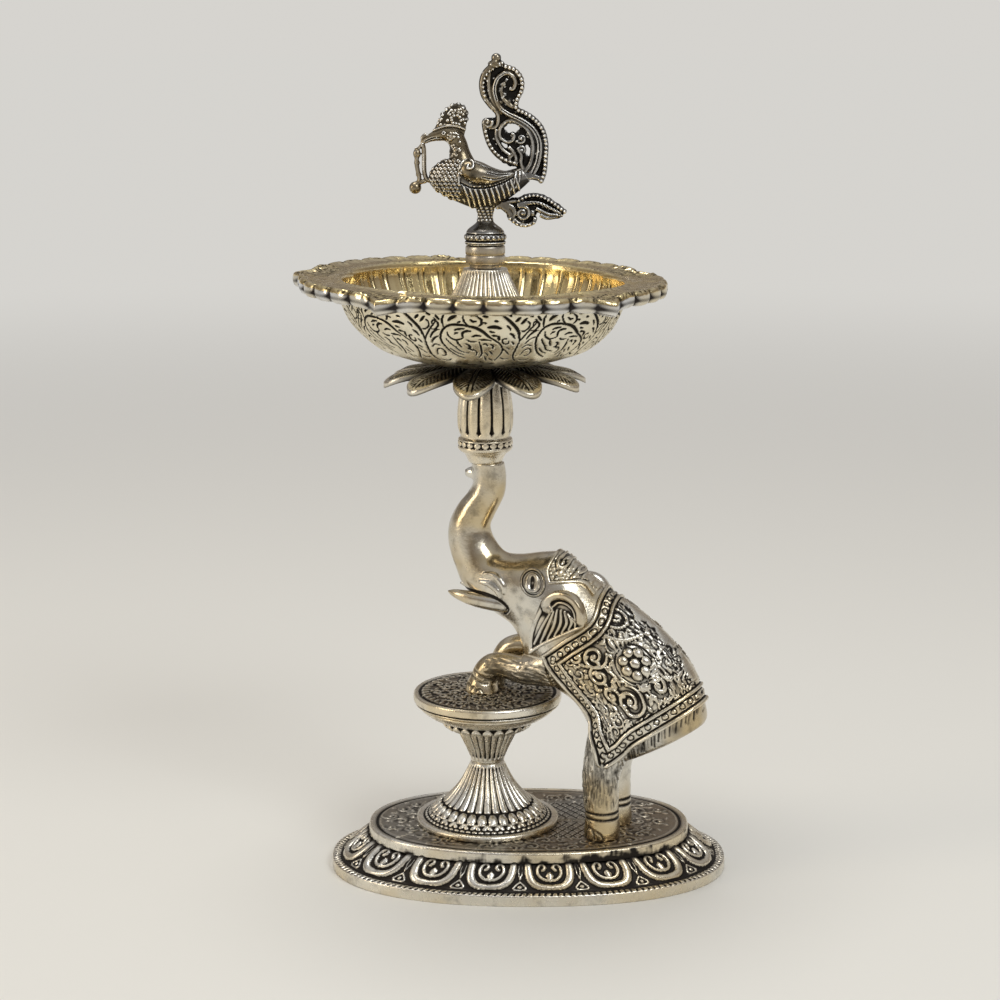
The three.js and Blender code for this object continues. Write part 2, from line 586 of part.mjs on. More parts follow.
const studInElephant = new THREE.Vector3(STEM_X, STEM_Y, deckTop)
  .applyMatrix4(elephantToLamp.clone().invert());
const footScrewSocket = FOOT_SCREW_BITE + SOCKET_END_GAP;
const elephantSolid = cut(
  join([
    elephantHull(0), rearLeg(-1), rearLeg(1), nearForeleg, farForeleg,
    tusk(-1), tusk(1), trunkLip, ear(-1), ear(1),
  ]).add(cloth).add(headDress),
  [
    rod(STOOL_TOP_RADIUS * 2, -10, 0).translate(REAR_FOOT_U, 0, 0),
    new THREE.BoxGeometry(40, 40, 10).translate(-8, 0, stoolRise - 5),
    rod(STUD_RADIUS + BORE_CLEARANCE, TRUNK_TOP - STUD_BITE - SOCKET_END_GAP, TRUNK_TOP + 1)
      .translate(studInElephant.x, studInElephant.y, 0),
    ...[-1, 1].map((side) => rod(FOOT_SCREW_RADIUS + BORE_CLEARANCE, -1, footScrewSocket)
      .translate(REAR_FOOT_U, side * REAR_STANCE, 0)),
  ],
);
const elephant = new THREE.Group();
elephant.position.set(0, STEM_Y, deckTop);
elephant.rotation.z = -ELEPHANT_YAW;
lamp.add(elephant);
addPiece('elephant_body', toGeometry(elephantSolid), plated, elephant);

// Screws and washers from below into the rear feet
const footScrew = () => toGeometry(join([
  rod(FOOT_SCREW_RADIUS, washerBottom - 0.5, deckTop + FOOT_SCREW_BITE, 12),
  rod(FOOT_SCREW_HEAD_RADIUS, washerBottom - FOOT_SCREW_HEAD_HEIGHT, washerBottom, 12),
]));
const footWasher = () => turned([
  [FOOT_SCREW_RADIUS + BORE_CLEARANCE, washerBottom], [FOOT_WASHER_RADIUS, washerBottom],
  [FOOT_WASHER_RADIUS, deckUnderside], [FOOT_SCREW_RADIUS + BORE_CLEARANCE, deckUnderside],
], 14);
['near', 'far'].forEach((name, i) => {
  addPiece(`elephant_screw_${name}`, footScrew(), steel).position.set(rearFeet[i].x, rearFeet[i].y, 0);
  addPiece(`elephant_washer_${name}`, footWasher(), steel).position.set(rearFeet[i].x, rearFeet[i].y, 0);
});

// Everything above the trunk shares the stem axis
const stem = new THREE.Group();
stem.position.set(STEM_X, STEM_Y, 0);
lamp.add(stem);

// Stem cup: cone, bead ring and fluted bulb
const studBore = STUD_RADIUS + BORE_CLEARANCE;
const stemLevel = (share) => trunkTop + STEM_CUP_HEIGHT * share;
addPiece('stem_cup', boredTurn([
  plain(STEM_FOOT_RADIUS, trunkTop),
  plain(STEM_FOOT_RADIUS + 1, stemLevel(0.1)),
  plain(STEM_BEAD_RADIUS - 0.4, stemLevel(0.15)),
  plain(STEM_BEAD_RADIUS, stemLevel(0.22)),
  plain(STEM_BEAD_RADIUS - 0.7, stemLevel(0.29)),
  fluted(STEM_FLUTES, STEM_BULB_RADIUS * 0.97, stemLevel(0.36), FLUTE_DEPTH),
  fluted(STEM_FLUTES, STEM_BULB_RADIUS, stemLevel(0.56), FLUTE_DEPTH * 1.6),
  fluted(STEM_FLUTES, STEM_BULB_RADIUS * 0.93, stemLevel(0.8), FLUTE_DEPTH * 1.6),
  fluted(STEM_FLUTES, STEM_BULB_RADIUS * 0.82, stemLevel(0.96), FLUTE_DEPTH),
  plain(STEM_BULB_RADIUS * 0.8, stemTop),
], STEM_FLUTES * 2, studBore, trunkTop, stemTop), plated, stem);

addPiece('bowl_stud', rod(STUD_RADIUS, trunkTop - STUD_BITE, finialBottom + STUD_IN_FINIAL), steel, stem);

// Petal collar: a flower of drooping petals on a short hub, their thick tips curled down
const petalWave = (angle) => Math.abs(Math.cos(((angle - PETAL_TURN) * PETAL_COUNT) / 2));
const petalEdge = (angle) => PETAL_REACH * (0.52 + 0.48 * petalWave(angle) ** 0.6);
const petalRow = (share, lift, curl = 0) => (angle) => {
  const radius = THREE.MathUtils.lerp(PETAL_HUB_RADIUS, petalEdge(angle), share);
  const fall = PETAL_DROOP * (radius / PETAL_REACH) ** 2 + curl * petalWave(angle) ** 3;
  return [radius, collarTop - PETAL_THICKNESS + lift - fall - 0.7 * share * (1 - petalWave(angle))];
};
addPiece('petal_collar', boredTurn([
  plain(STEM_BULB_RADIUS * 0.8, collarBottom),
  plain(PETAL_HUB_RADIUS, collarTop - PETAL_THICKNESS * 1.6),
  petalRow(0.85, 0),
  petalRow(0.97, 0, PETAL_TIP_CURL),
  petalRow(1, PETAL_THICKNESS * 0.4, PETAL_TIP_CURL),
  petalRow(0.93, PETAL_THICKNESS),
  plain(PETAL_HUB_RADIUS, collarTop),
], PETAL_COUNT * 6, studBore, collarBottom, collarTop, PETAL_TURN), darkPlated, stem);

// Bowl: round bellied outside, five lobes inside, a flat beaded flange with a pointed lip at each wick
const lobeAngle = (angle) => {
  const pitch = (Math.PI * 2) / BOWL_LOBES;
  const from = angle - Math.PI / 2 - BOWL_TURN;
  return from - Math.round(from / pitch) * pitch;
};
const lobeShare = (angle) => Math.abs(lobeAngle(angle)) / (Math.PI / BOWL_LOBES);
// The stations start on a lip, so that they fall on every bead of the rim and on every gadroon
const BOWL_STATIONS = BOWL_LOBES * BOWL_GADROONS * 2;
const scallop = (angle) => 0.5 + 0.5 * Math.cos(lobeAngle(angle) * BOWL_LOBES * BOWL_GADROONS);
const lipShare = (angle, width) => Math.max(0, 1 - lobeShare(angle) / width);
const rimEdge = (angle) => BOWL_RIM_RADIUS - 1.2 * (1 - lobeShare(angle))
  + RIM_SCALLOP * (scallop(angle) - 1) + (BOWL_LIP_LENGTH + 1.2) * lipShare(angle, 0.22) ** 1.3;
const innerEdge = (angle) => BOWL_BODY_RADIUS - 2.5 + 2.5 * lobeShare(angle) ** 0.7;
const innerRow = (share, z) => (angle) => [
  innerEdge(angle) * share - GADROON_DEPTH * (1 - scallop(angle)), z,
];
const bowlLevel = (share) => bowlBottom + BOWL_HEIGHT * share;
const rimRow = (inset, z) => (angle) => [rimEdge(angle) - inset, z - RIM_DIP * lipShare(angle, 0.25)];
addPiece('bowl', boredTurn([
  plain(BOWL_BASE_RADIUS, bowlBottom),
  plain(BOWL_BODY_RADIUS * 0.75, bowlLevel(0.17)),
  plain(BOWL_BODY_RADIUS * 0.9, bowlLevel(0.4)),
  plain(BOWL_BODY_RADIUS * 0.98, bowlLevel(0.64)),
  plain(BOWL_BODY_RADIUS, bowlLevel(0.84)),
  rimRow(0, bowlLevel(0.9)),
  rimRow(0, bowlLevel(0.96)),
  rimRow(1.2, bowlRim),
  (angle) => [innerEdge(angle) + 1.2, bowlRim - 0.3],
  innerRow(1, bowlRim - 1.6),
  innerRow(0.93, bowlLevel(0.6)),
  innerRow(0.8, bowlLevel(0.26)),
  plain(CONE_BASE_RADIUS + 2, bowlFloor),
], BOWL_STATIONS, studBore, bowlBottom, bowlRim, Math.PI / 2 + BOWL_TURN), goldenPlated, stem);

// Seal ring on the bowl floor, under the cone
addPiece('bowl_seal', turned([
  [studBore, bowlFloor], [SEAL_RADIUS, bowlFloor],
  [SEAL_RADIUS, bowlFloor + SEAL_THICKNESS], [studBore, bowlFloor + SEAL_THICKNESS],
], 16), sealRubber, stem);

// Fluted cone that covers the seal and carries the collar nut
const coneHeight = coneTop - bowlFloor;
const coneLevel = (share) => bowlFloor + coneHeight * share;
const coneRadius = (share) => CONE_TOP_RADIUS + (CONE_BASE_RADIUS - CONE_TOP_RADIUS) * (1 - share) ** 2;
const coneRow = (share) => fluted(CONE_FLUTES, coneRadius(share), coneLevel(share), FLUTE_DEPTH);
const CONE_WALL = 2.2;
const CONE_HOLLOW_STATIONS = 20;
const coneHollow = loft([
  [CONE_BASE_RADIUS - CONE_WALL, bowlFloor - 1],
  [CONE_BASE_RADIUS - CONE_WALL, bowlFloor + 0.4],
  [coneRadius(0.5) - CONE_WALL, coneLevel(0.5)],
  [studBore, coneLevel(0.86)],
].map(([radius, z]) => Array.from({ length: CONE_HOLLOW_STATIONS }, (_, i) => {
  const angle = (i / CONE_HOLLOW_STATIONS) * Math.PI * 2;
  return new THREE.Vector3(radius * Math.cos(angle), radius * Math.sin(angle), z);
})));
const coneShell = boredTurn([0, 0.45, 1].map(coneRow), CONE_FLUTES * 2, studBore, bowlFloor, coneTop);
addPiece('bowl_cone', toGeometry(cut(toSolid(coneShell), [coneHollow])), goldenPlated, stem);

// Collar nut over the cone
addPiece('collar_nut', turned([
  [studBore, nutBottom],
  [NUT_STEP_RADIUS, nutBottom],
  [NUT_STEP_RADIUS, nutBottom + NUT_STEP_HEIGHT],
  [COLLAR_NUT_RADIUS, nutBottom + NUT_STEP_HEIGHT + COLLAR_NUT_CHAMFER],
  [COLLAR_NUT_RADIUS, nutTop - COLLAR_NUT_CHAMFER],
  [COLLAR_NUT_RADIUS - COLLAR_NUT_CHAMFER, nutTop],
  [studBore, nutTop],
], 20), darkPlated, stem);

// Peacock, in the plane of the stem axis: x along the bird, z above its post
const bird = new THREE.Group();
bird.position.set(0, 0, birdLevel);
stem.add(bird);

// Sections [lower x, z, upper x, z, half width] along the body from breast to rump
const birdSections = [
  [-15.2, 5, -15, 6.4, 1],
  [-14.2, 3.4, -13.9, 8.6, 2.8],
  [-11.6, 1.4, -11, 10.4, 4],
  [-7.4, -0.7, -6.6, 11.4, 4.6],
  [-2.6, -2.4, -2.2, 9.9, 4.6],
  [2, -2.4, 1.6, 8, 4.2],
  [6.2, 0.1, 5.2, 7.6, 3.2],
  [9.6, 2.7, 7.8, 8.2, 2.3],
  [12, 4.9, 9.4, 8.6, 1.6],
];
const birdBody = loft(birdSections.map(([lowX, lowZ, highX, highZ, halfWidth]) => (
  Array.from({ length: 14 }, (_, i) => {
    const angle = (i / 14) * Math.PI * 2;
    return new THREE.Vector3(
      (lowX + highX) / 2 + ((highX - lowX) / 2) * Math.cos(angle),
      (halfWidth / 4.6) * PEACOCK_HALF_WIDTH * Math.sin(angle),
      (lowZ + highZ) / 2 + ((highZ - lowZ) / 2) * Math.cos(angle),
    );
  })
)));
const birdNeck = limb([
  [-6.4, 0, 8, 3.8], [-6.6, 0, 11.4, 2.9], [-6.9, 0, 14, 2.4], [-7.5, 0, 16.4, 2.3],
  [-9.8, 0, 17.6, 2.1], [-12.6, 0, 17.2, 1.7], [-15.2, 0, 16, 1.2], [-17.3, 0, 14.8, 0.5],
], 10);
const birdCrest = sidePlate([
  [-14, 18.2], [-12.2, 21.2], [-10.4, 23.4], [-9.3, 24.8], [-7.4, 25.5], [-6, 24.9],
  [-4.6, 22.8], [-4.7, 20.9], [-5.7, 19.4], [-6.6, 17.4], [-11, 17],
], -CREST_THICKNESS / 2, CREST_THICKNESS / 2, CREST_THICKNESS * 0.2);
const wing = (side) => limb([
  [-8.2, side * 3, 9.4, 1.4], [-5, side * 3.6, 8, 2.7], [-0.5, side * 3.4, 6, 2.4], [4, side * 2.8, 5.4, 1],
], 8);
const finialFoot = turned([
  [0, -FINIAL_POST_HEIGHT - FINIAL_FOOT_HEIGHT],
  [FINIAL_FOOT_RADIUS - 0.6, -FINIAL_POST_HEIGHT - FINIAL_FOOT_HEIGHT],
  [FINIAL_FOOT_RADIUS, -FINIAL_POST_HEIGHT - FINIAL_FOOT_HEIGHT * 0.85],
  [FINIAL_FOOT_RADIUS, -FINIAL_POST_HEIGHT - FINIAL_FOOT_HEIGHT * 0.5],
  [FINIAL_FOOT_RADIUS * 0.82, -FINIAL_POST_HEIGHT - FINIAL_FOOT_HEIGHT * 0.2],
  [FINIAL_POST_RADIUS + 0.6, -FINIAL_POST_HEIGHT],
  [FINIAL_POST_RADIUS, -FINIAL_POST_HEIGHT * 0.75],
  [FINIAL_POST_RADIUS + 0.7, -FINIAL_POST_HEIGHT * 0.4],
  [FINIAL_POST_RADIUS + 1, 0],
  [0, 0],
], 18);
addPiece('peacock_body', toGeometry(cut(
  join([birdBody, birdNeck, birdCrest, wing(-1), wing(1), finialFoot]),
  [rod(studBore, finialBottom - birdLevel - 1, finialBottom - birdLevel + STUD_IN_FINIAL + SOCKET_END_GAP)],
)), darkPlated, bird);

// A pierced plate in the bird's plane. Each hole is [x, z, half width, half height, tilt].
function piercedPlate(outline, holes, thickness) {
  const plate = toSolid(sidePlate(outline, -thickness / 2, thickness / 2));
  return toGeometry(cut(plate, holes.map(([x, z, halfX, halfZ, tilt = 0]) => (
    new THREE.CylinderGeometry(1, 1, thickness + 2, 8)
      .scale(halfX, 1, halfZ).rotateY(-tilt).translate(x, 0, z)
  ))));
}

// Raised openwork tail: an S that ends in a bud, with a volute on its hollow side and three piercings
addPiece('peacock_tail', piercedPlate([
  [3.1, 38.8], [1.3, 37.2], [1.1, 35.5], [-0.3, 34.2], [-1.3, 32.2], [-1.4, 30.2], [-0.9, 27.5], [0.1, 24.9],
  [0.9, 23.7], [-0.6, 22.9], [-1.5, 21.5], [-1.4, 20.2], [-0.3, 18.9], [-0.1, 17.5], [0.6, 14.5], [1.3, 12.8],
  [3.1, 10.8], [4.8, 9.4], [7.2, 8.9], [9.65, 8.85], [12.3, 5.05], [13.7, 4.6], [15.8, 4.7], [16.4, 5.7],
  [16.4, 8.4], [16.9, 11.1], [17, 14.2], [16.4, 17.5], [15, 19.9], [13, 21.9], [10.9, 23.4], [8.6, 23.9],
  [9.1, 24.5], [9.6, 26.9], [10.4, 29.2], [10.4, 31.5], [9.2, 33.9], [7.2, 35.2], [5.1, 35.9], [4.6, 38.2],
], [
  [7, 18.8, 2, 1.1, -0.1],
  [4.5, 14.2, 0.7, 1.9, 0.75],
  [11.5, 12.1, 1, 1.9, -0.4],
], TAIL_THICKNESS), darkPlated, bird);

// Small lower tail with a notch in its scrolled underside
addPiece('peacock_train', piercedPlate([
  [3.9, -1.75], [6.4, -0.25], [7.6, 0.1], [9.5, 0.3], [11.3, 1.2], [13.7, 1.7], [15.8, 1.5],
  [17.8, 0.3], [19.9, -1.7], [21.8, -3.2], [20.9, -4.8], [18.2, -5.1], [16.1, -5.8], [14.8, -5.5],
  [14.1, -4], [13.8, -6.1], [12.1, -7.5], [10, -7.3], [7.9, -6.5], [6.7, -5.8], [5.5, -4.1], [3.9, -2.9],
], [], TRAIN_THICKNESS), darkPlated, bird);

// Strap from the beak to the breast, and beside it a strand with a bud on top and a ball below
addPiece('peacock_garland', toGeometry(join([
  limb([
    [-16.9, 0, 13.6, 0.6], [-16.4, 0, 12, 0.8], [-16.3, 0, 9.6, 0.75], [-16.3, 0, 6.6, 0.6], [-16.4, 0, 4.6, 0.6],
  ], 6),
  limb([
    [-18.5, 0, 13, 0.4], [-18.3, 0, 11.8, 1.2], [-18.1, 0, 9.8, 0.7], [-17.8, 0, 7.4, 0.6], [-17.9, 0, 4, 0.7],
  ], 6),
  limb([[-18.6, 0, 4, 0.7], [-16, 0, 4.8, 0.6]], 6),
  new THREE.SphereGeometry(1.7, 10, 7).translate(-18.8, 0, 3.2),
])), darkPlated, bird);

// The lamp stands on the origin, centred by its box
lamp.updateMatrixWorld(true);
const box = new THREE.Box3().setFromObject(lamp, true);
lamp.position.set(-(box.min.x + box.max.x) / 2, -(box.min.y + box.max.y) / 2, -box.min.z);

export default lamp;
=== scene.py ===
import math
import bpy
import numpy as np
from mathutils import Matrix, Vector, bvhtree, kdtree


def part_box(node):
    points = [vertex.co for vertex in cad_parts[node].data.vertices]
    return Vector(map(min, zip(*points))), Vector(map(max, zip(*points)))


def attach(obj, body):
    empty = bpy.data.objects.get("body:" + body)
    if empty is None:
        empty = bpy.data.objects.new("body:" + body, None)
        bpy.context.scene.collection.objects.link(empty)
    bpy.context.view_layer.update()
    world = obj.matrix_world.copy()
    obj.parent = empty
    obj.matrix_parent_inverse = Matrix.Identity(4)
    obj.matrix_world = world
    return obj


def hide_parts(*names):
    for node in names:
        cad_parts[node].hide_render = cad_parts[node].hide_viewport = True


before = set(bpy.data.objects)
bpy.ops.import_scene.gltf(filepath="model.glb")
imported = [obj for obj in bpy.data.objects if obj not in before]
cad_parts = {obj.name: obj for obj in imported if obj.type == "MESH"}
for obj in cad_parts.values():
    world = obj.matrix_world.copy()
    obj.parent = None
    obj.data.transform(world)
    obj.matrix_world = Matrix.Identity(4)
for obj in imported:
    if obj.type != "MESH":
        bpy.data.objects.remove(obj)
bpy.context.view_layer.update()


# Ground, sky, soft lights and the camera
# The lamp stands on a plain pale ground in plain soft light. The camera looks down a little,
# from where the photograph was taken.
MM = 0.001
CAMERA_HEIGHT = 228
CAMERA_DISTANCE = 620
CAMERA_PITCH = math.radians(11.32)
FOCAL_LENGTH = 83.34
FRAMING_SHIFT = 0.0125
SENSOR_WIDTH = 36
LIGHTS_AIM = (0, 0, 0.11)
GLOW = (0.84, 0.82, 0.78, 1)
DUSK = (0.26, 0.21, 0.16, 1)
ZENITH = (0.62, 0.63, 0.66, 1)
FLOOR_REACH = 30
EVEN_FROM, EVEN_TO = 0.25, 1.6


def node_box(node):
    """Lowest and highest corner of a node, in millimetres."""
    return [np.array(corner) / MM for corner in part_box(node)]


def node_middle(node):
    low, high = node_box(node)
    return (low + high) / 2


pedestal_axis = node_middle("stool_foot")[:2]
stem_axis = node_middle("bowl_stud")[:2]

scene = bpy.context.scene
scene.view_settings.view_transform = "Standard"
camera = bpy.data.objects.new("camera", bpy.data.cameras.new("camera"))
camera.data.lens = FOCAL_LENGTH
camera.data.sensor_width = SENSOR_WIDTH
camera.data.shift_x = FRAMING_SHIFT
camera.data.clip_start = 0.01
camera.location = Vector((pedestal_axis[0], pedestal_axis[1] - CAMERA_DISTANCE, CAMERA_HEIGHT)) * MM
camera.rotation_euler = (math.pi / 2 - CAMERA_PITCH, 0, 0)
scene.collection.objects.link(camera)
scene.camera = camera


def lamp(name, place, size, power, colour):
    """A soft box that points at the middle of the object."""
    light = bpy.data.lights.new(name, "AREA")
    light.shape = "RECTANGLE"
    light.size, light.size_y = size
    light.energy = power
    light.color = colour
    holder = bpy.data.objects.new(name, light)
    holder.location = place
    aim = Vector(LIGHTS_AIM) - Vector(place)
    holder.rotation_euler = aim.to_track_quat("-Z", "Y").to_euler()
    scene.collection.objects.link(holder)


lamp("window_light", (0.55, -0.75, 0.95), (0.5, 0.5), 5.0, (0.93, 0.97, 1.0))
lamp("ceiling_light", (-0.15, 0.1, 1.25), (0.7, 0.5), 5.5, (1.0, 0.98, 0.95))
lamp("warm_side_light", (-0.95, -0.35, 0.45), (0.35, 0.6), 2.2, (1.0, 0.88, 0.7))

world = bpy.data.worlds.new("studio")
scene.world = world
world.use_nodes = True
sky = world.node_tree.nodes
sky_links = world.node_tree.links
sky_direction = sky.new("ShaderNodeTexCoord")
sky_split = sky.new("ShaderNodeSeparateXYZ")
sky_ramp = sky.new("ShaderNodeValToRGB")
sky_links.new(sky_direction.outputs["Generated"], sky_split.inputs[0])
sky_links.new(sky_split.outputs["Z"], sky_ramp.inputs[0])
sky_ramp.color_ramp.elements[0].color = GLOW
sky_ramp.color_ramp.elements[1].position = 0.75
sky_ramp.color_ramp.elements[1].color = ZENITH
for height, shade in ((0.05, GLOW), (0.16, DUSK)):
    sky_ramp.color_ramp.elements.new(height).color = shade
sky_links.new(sky_ramp.outputs[0], sky["Background"].inputs["Color"])
sky["Background"].inputs["Strength"].default_value = 0.8

floor_mesh = bpy.data.meshes.new("table_top")
floor_mesh.from_pydata(
    [(x * FLOOR_REACH, y * FLOOR_REACH, 0) for x, y in ((-1, -1), (1, -1), (1, 1), (-1, 1))],
    [], [(0, 1, 2, 3)],
)
table_top = bpy.data.objects.new("table_top", floor_mesh)
scene.collection.objects.link(table_top)
table_paint = bpy.data.materials.new("cream_table")
table_paint.use_nodes = True
table_shader = table_paint.node_tree.nodes["Principled BSDF"]
table_shader.inputs["Base Color"].default_value = (0.78, 0.76, 0.70, 1)
table_shader.inputs["Roughness"].default_value = 0.55
# Far from the lamp the ground runs out into an even pale tone, which metal reflects too.
paint, paint_links = table_paint.node_tree.nodes, table_paint.node_tree.links
pale_ground = paint.new("ShaderNodeEmission")
pale_ground.inputs["Color"].default_value = (0.67, 0.656, 0.624, 1)
far_off = paint.new("ShaderNodeMapRange")
far_off.interpolation_type = "SMOOTHSTEP"
far_off.inputs["From Min"].default_value = EVEN_FROM
far_off.inputs["From Max"].default_value = EVEN_TO
reach = paint.new("ShaderNodeVectorMath")
reach.operation = "LENGTH"
paint_links.new(paint.new("ShaderNodeTexCoord").outputs["Object"], reach.inputs[0])
paint_links.new(reach.outputs["Value"], far_off.inputs["Value"])
rays = paint.new("ShaderNodeLightPath")
seen = rays.outputs["Is Camera Ray"]
for kind in ("Is Glossy Ray", "Is Transmission Ray"):
    either = paint.new("ShaderNodeMath")
    either.operation = "MAXIMUM"
    paint_links.new(seen, either.inputs[0])
    paint_links.new(rays.outputs[kind], either.inputs[1])
    seen = either.outputs[0]
share_far = paint.new("ShaderNodeMath")
share_far.operation = "MULTIPLY"
paint_links.new(seen, share_far.inputs[0])
paint_links.new(far_off.outputs["Result"], share_far.inputs[1])
ground_mix = paint.new("ShaderNodeMixShader")
paint_links.new(share_far.outputs[0], ground_mix.inputs["Fac"])
paint_links.new(table_shader.outputs[0], ground_mix.inputs[1])
paint_links.new(pale_ground.outputs[0], ground_mix.inputs[2])
paint_links.new(ground_mix.outputs[0], paint["Material Output"].inputs["Surface"])
floor_mesh.materials.append(table_paint)


# Oval skirt of the base
# Cast white metal, silver plated and then blackened, with the black rubbed off the high places.
# Sixteen lotus petals slope down from the deck to a notched cord over an upright edge.
OVAL_POWER = 2.25
PETALS_ROUND_BASE = 16
FIRST_PETAL = 0.33
CORD_NOTCH_PITCH = 1.55
EDGE_HEIGHT = 3.0
BASE_GIRTH = 266.0
SKIRT_COLUMNS = 900


def turns(columns):
    """Equal angles once round."""
    return np.arange(columns) / columns * 2 * math.pi


def lengths(points):
    """The length along a polyline up to each of its points."""
    return np.r_[0, np.cumsum(np.linalg.norm(np.diff(points, axis=0), axis=1))]


def spline(a, b, c, d, t):
    """A place between b and c on a smooth curve through all four."""
    bend, twist = 2 * a - 5 * b + 4 * c - d, 3 * b - a - 3 * c + d
    return 0.5 * (2 * b + (c - a) * t + bend * t ** 2 + twist * t ** 3)


def smooth_path(points, step):
    """Points along a curve through the given ones, at about equal steps."""
    points = np.asarray(points, float)
    ends = np.vstack([2 * points[0] - points[1], points, 2 * points[-1] - points[-2]])
    t = np.linspace(0, 1, 24, endpoint=False)[:, None]
    pieces = [spline(*corners, t) for corners in zip(ends, ends[1:], ends[2:], ends[3:])]
    return even_path(np.vstack(pieces + [points[-1:]]), step)


def even_path(points, step):
    """The same polyline at equal steps."""
    points = np.asarray(points, float)
    along = lengths(points)
    count = max(2, round(along[-1] / step) + 1)
    places = np.linspace(0, along[-1], count)
    return np.stack([np.interp(places, along, points[:, k]) for k in range(points.shape[1])], 1)


def oval(half_length, half_depth, shares):
    """Points on the base's oval outline at shares of its length, from the right end round by the back."""
    angle = np.linspace(0, 2 * math.pi, 2001)
    power = 2 / OVAL_POWER
    edge = np.stack([
        half_length * np.sign(np.cos(angle)) * np.abs(np.cos(angle)) ** power,
        half_depth * np.sign(np.sin(angle)) * np.abs(np.sin(angle)) ** power,
    ], 1)
    along = lengths(edge)
    return np.stack([np.interp(shares * along[-1], along, edge[:, k]) for k in (0, 1)], 1)


class Relief:
    """Chased ornament: heights in mm over a flat patch, drawn with round raised or cut strokes."""

    def __init__(self, width, height, pitch, wraps=False):
        self.pitch = pitch
        self.wraps = wraps
        self.columns, self.rows = round(width / pitch), round(height / pitch)
        self.level = np.zeros((self.rows, self.columns), np.float32)

    def line(self, points, width, rise, taper=0.0):
        """A stroke along the points. Taper thins it towards both ends."""
        path = even_path(points, self.pitch * 0.6)
        share = np.linspace(-1, 1, len(path))
        half = np.maximum(width / 2 * (1 - taper * share ** 2), self.pitch * 0.7) / self.pitch
        reach = np.arange(-math.ceil(half.max()) - 1, math.ceil(half.max()) + 2)
        centre = path / self.pitch - 0.5
        base = np.floor(centre).astype(int)
        columns = base[:, 0, None, None] + reach[None, None, :] + 0 * reach[None, :, None]
        rows = base[:, 1, None, None] + reach[None, :, None] + 0 * reach[None, None, :]
        away = np.hypot(columns - centre[:, 0, None, None], rows - centre[:, 1, None, None])
        height = rise * np.sqrt(np.clip(1 - (away / half[:, None, None]) ** 2, 0, 1))
        if self.wraps:
            columns = columns % self.columns
        kept = (rows >= 0) & (rows < self.rows) & (columns >= 0) & (columns < self.columns)
        merge = np.maximum if rise > 0 else np.minimum
        merge.at(self.level, (rows[kept], columns[kept]), height[kept].astype(np.float32))

    def curve(self, points, width, rise, taper=0.0):
        self.line(smooth_path(points, self.pitch), width, rise, taper)

    def dome(self, x, y, radius, rise):
        self.line([(x, y), (x + self.pitch * 0.1, y)], radius * 2, rise)

    def ring(self, x, y, radius, width, rise):
        angle = np.linspace(0, 2 * math.pi, 49)
        self.line(np.stack([x + radius * np.cos(angle), y + radius * np.sin(angle)], 1), width, rise)

    def leaf(self, x, y, length, width, angle, rise):
        """A filled pointed leaf from its root at x, y."""
        for share in np.linspace(-0.8, 0.8, 7):
            along = np.linspace(0, 1, 12)
            bow = share * width / 2 * np.sin(math.pi * along)
            bent = np.stack([
                x + length * along * math.cos(angle) - bow * math.sin(angle),
                y + length * along * math.sin(angle) + bow * math.cos(angle),
            ], 1)
            self.line(bent, width / 3, rise * (1 - 0.5 * abs(share)), 0.6)

    def spiral(self, x, y, radius, turns, angle, hand, width, rise):
        """A volute that winds in from the given radius and angle. Hand is 1 or -1."""
        t = np.linspace(0, 1, 16 + int(turns * 24))
        r = radius * (1 - 0.88 * t)
        a = angle + hand * turns * 2 * math.pi * t
        self.line(np.stack([x + r * np.cos(a), y + r * np.sin(a)], 1), width, rise, 0.45)

    def at(self, x, y):
        """Heights at points of the patch, between the drawn cells."""
        column = np.asarray(x) / self.pitch - 0.5
        row = np.clip(np.asarray(y) / self.pitch - 0.5, 0, self.rows - 1.001)
        if not self.wraps:
            column = np.clip(column, 0, self.columns - 1.001)
        c, r = np.floor(column).astype(int), np.floor(row).astype(int)
        u, v = column - c, row - r
        left, right = c % self.columns, (c + 1) % self.columns
        top = np.minimum(r + 1, self.rows - 1)
        return ((1 - v) * ((1 - u) * self.level[r, left] + u * self.level[r, right])
                + v * ((1 - u) * self.level[top, left] + u * self.level[top, right]))


def averaged(values, cells, edges):
    """A running mean both ways. Edges says how rows and then columns go on past their ends."""
    span = 2 * cells + 1
    for axis, edge in enumerate(edges):
        padding = [(0, 0), (0, 0)]
        padding[axis] = (cells + 1, cells)
        total = np.moveaxis(np.cumsum(np.pad(values, padding, edge), axis=axis), axis, 0)
        values = np.moveaxis((total[span:] - total[:-span]) / span, 0, axis)
    return values


def sunk(height, edges, gain, blur):
    """How black each place is, from how far it lies below its near and its wider surroundings."""
    near = np.clip((averaged(height, blur, edges) - height) * gain, 0, 1)
    wide = np.clip((averaged(height, blur * 3, edges) - height) * gain * 0.7, 0, 1)
    return near + wide


TUBE, RING, PATCH = ("edge", "wrap"), ("wrap", "wrap"), ("symmetric", "symmetric")


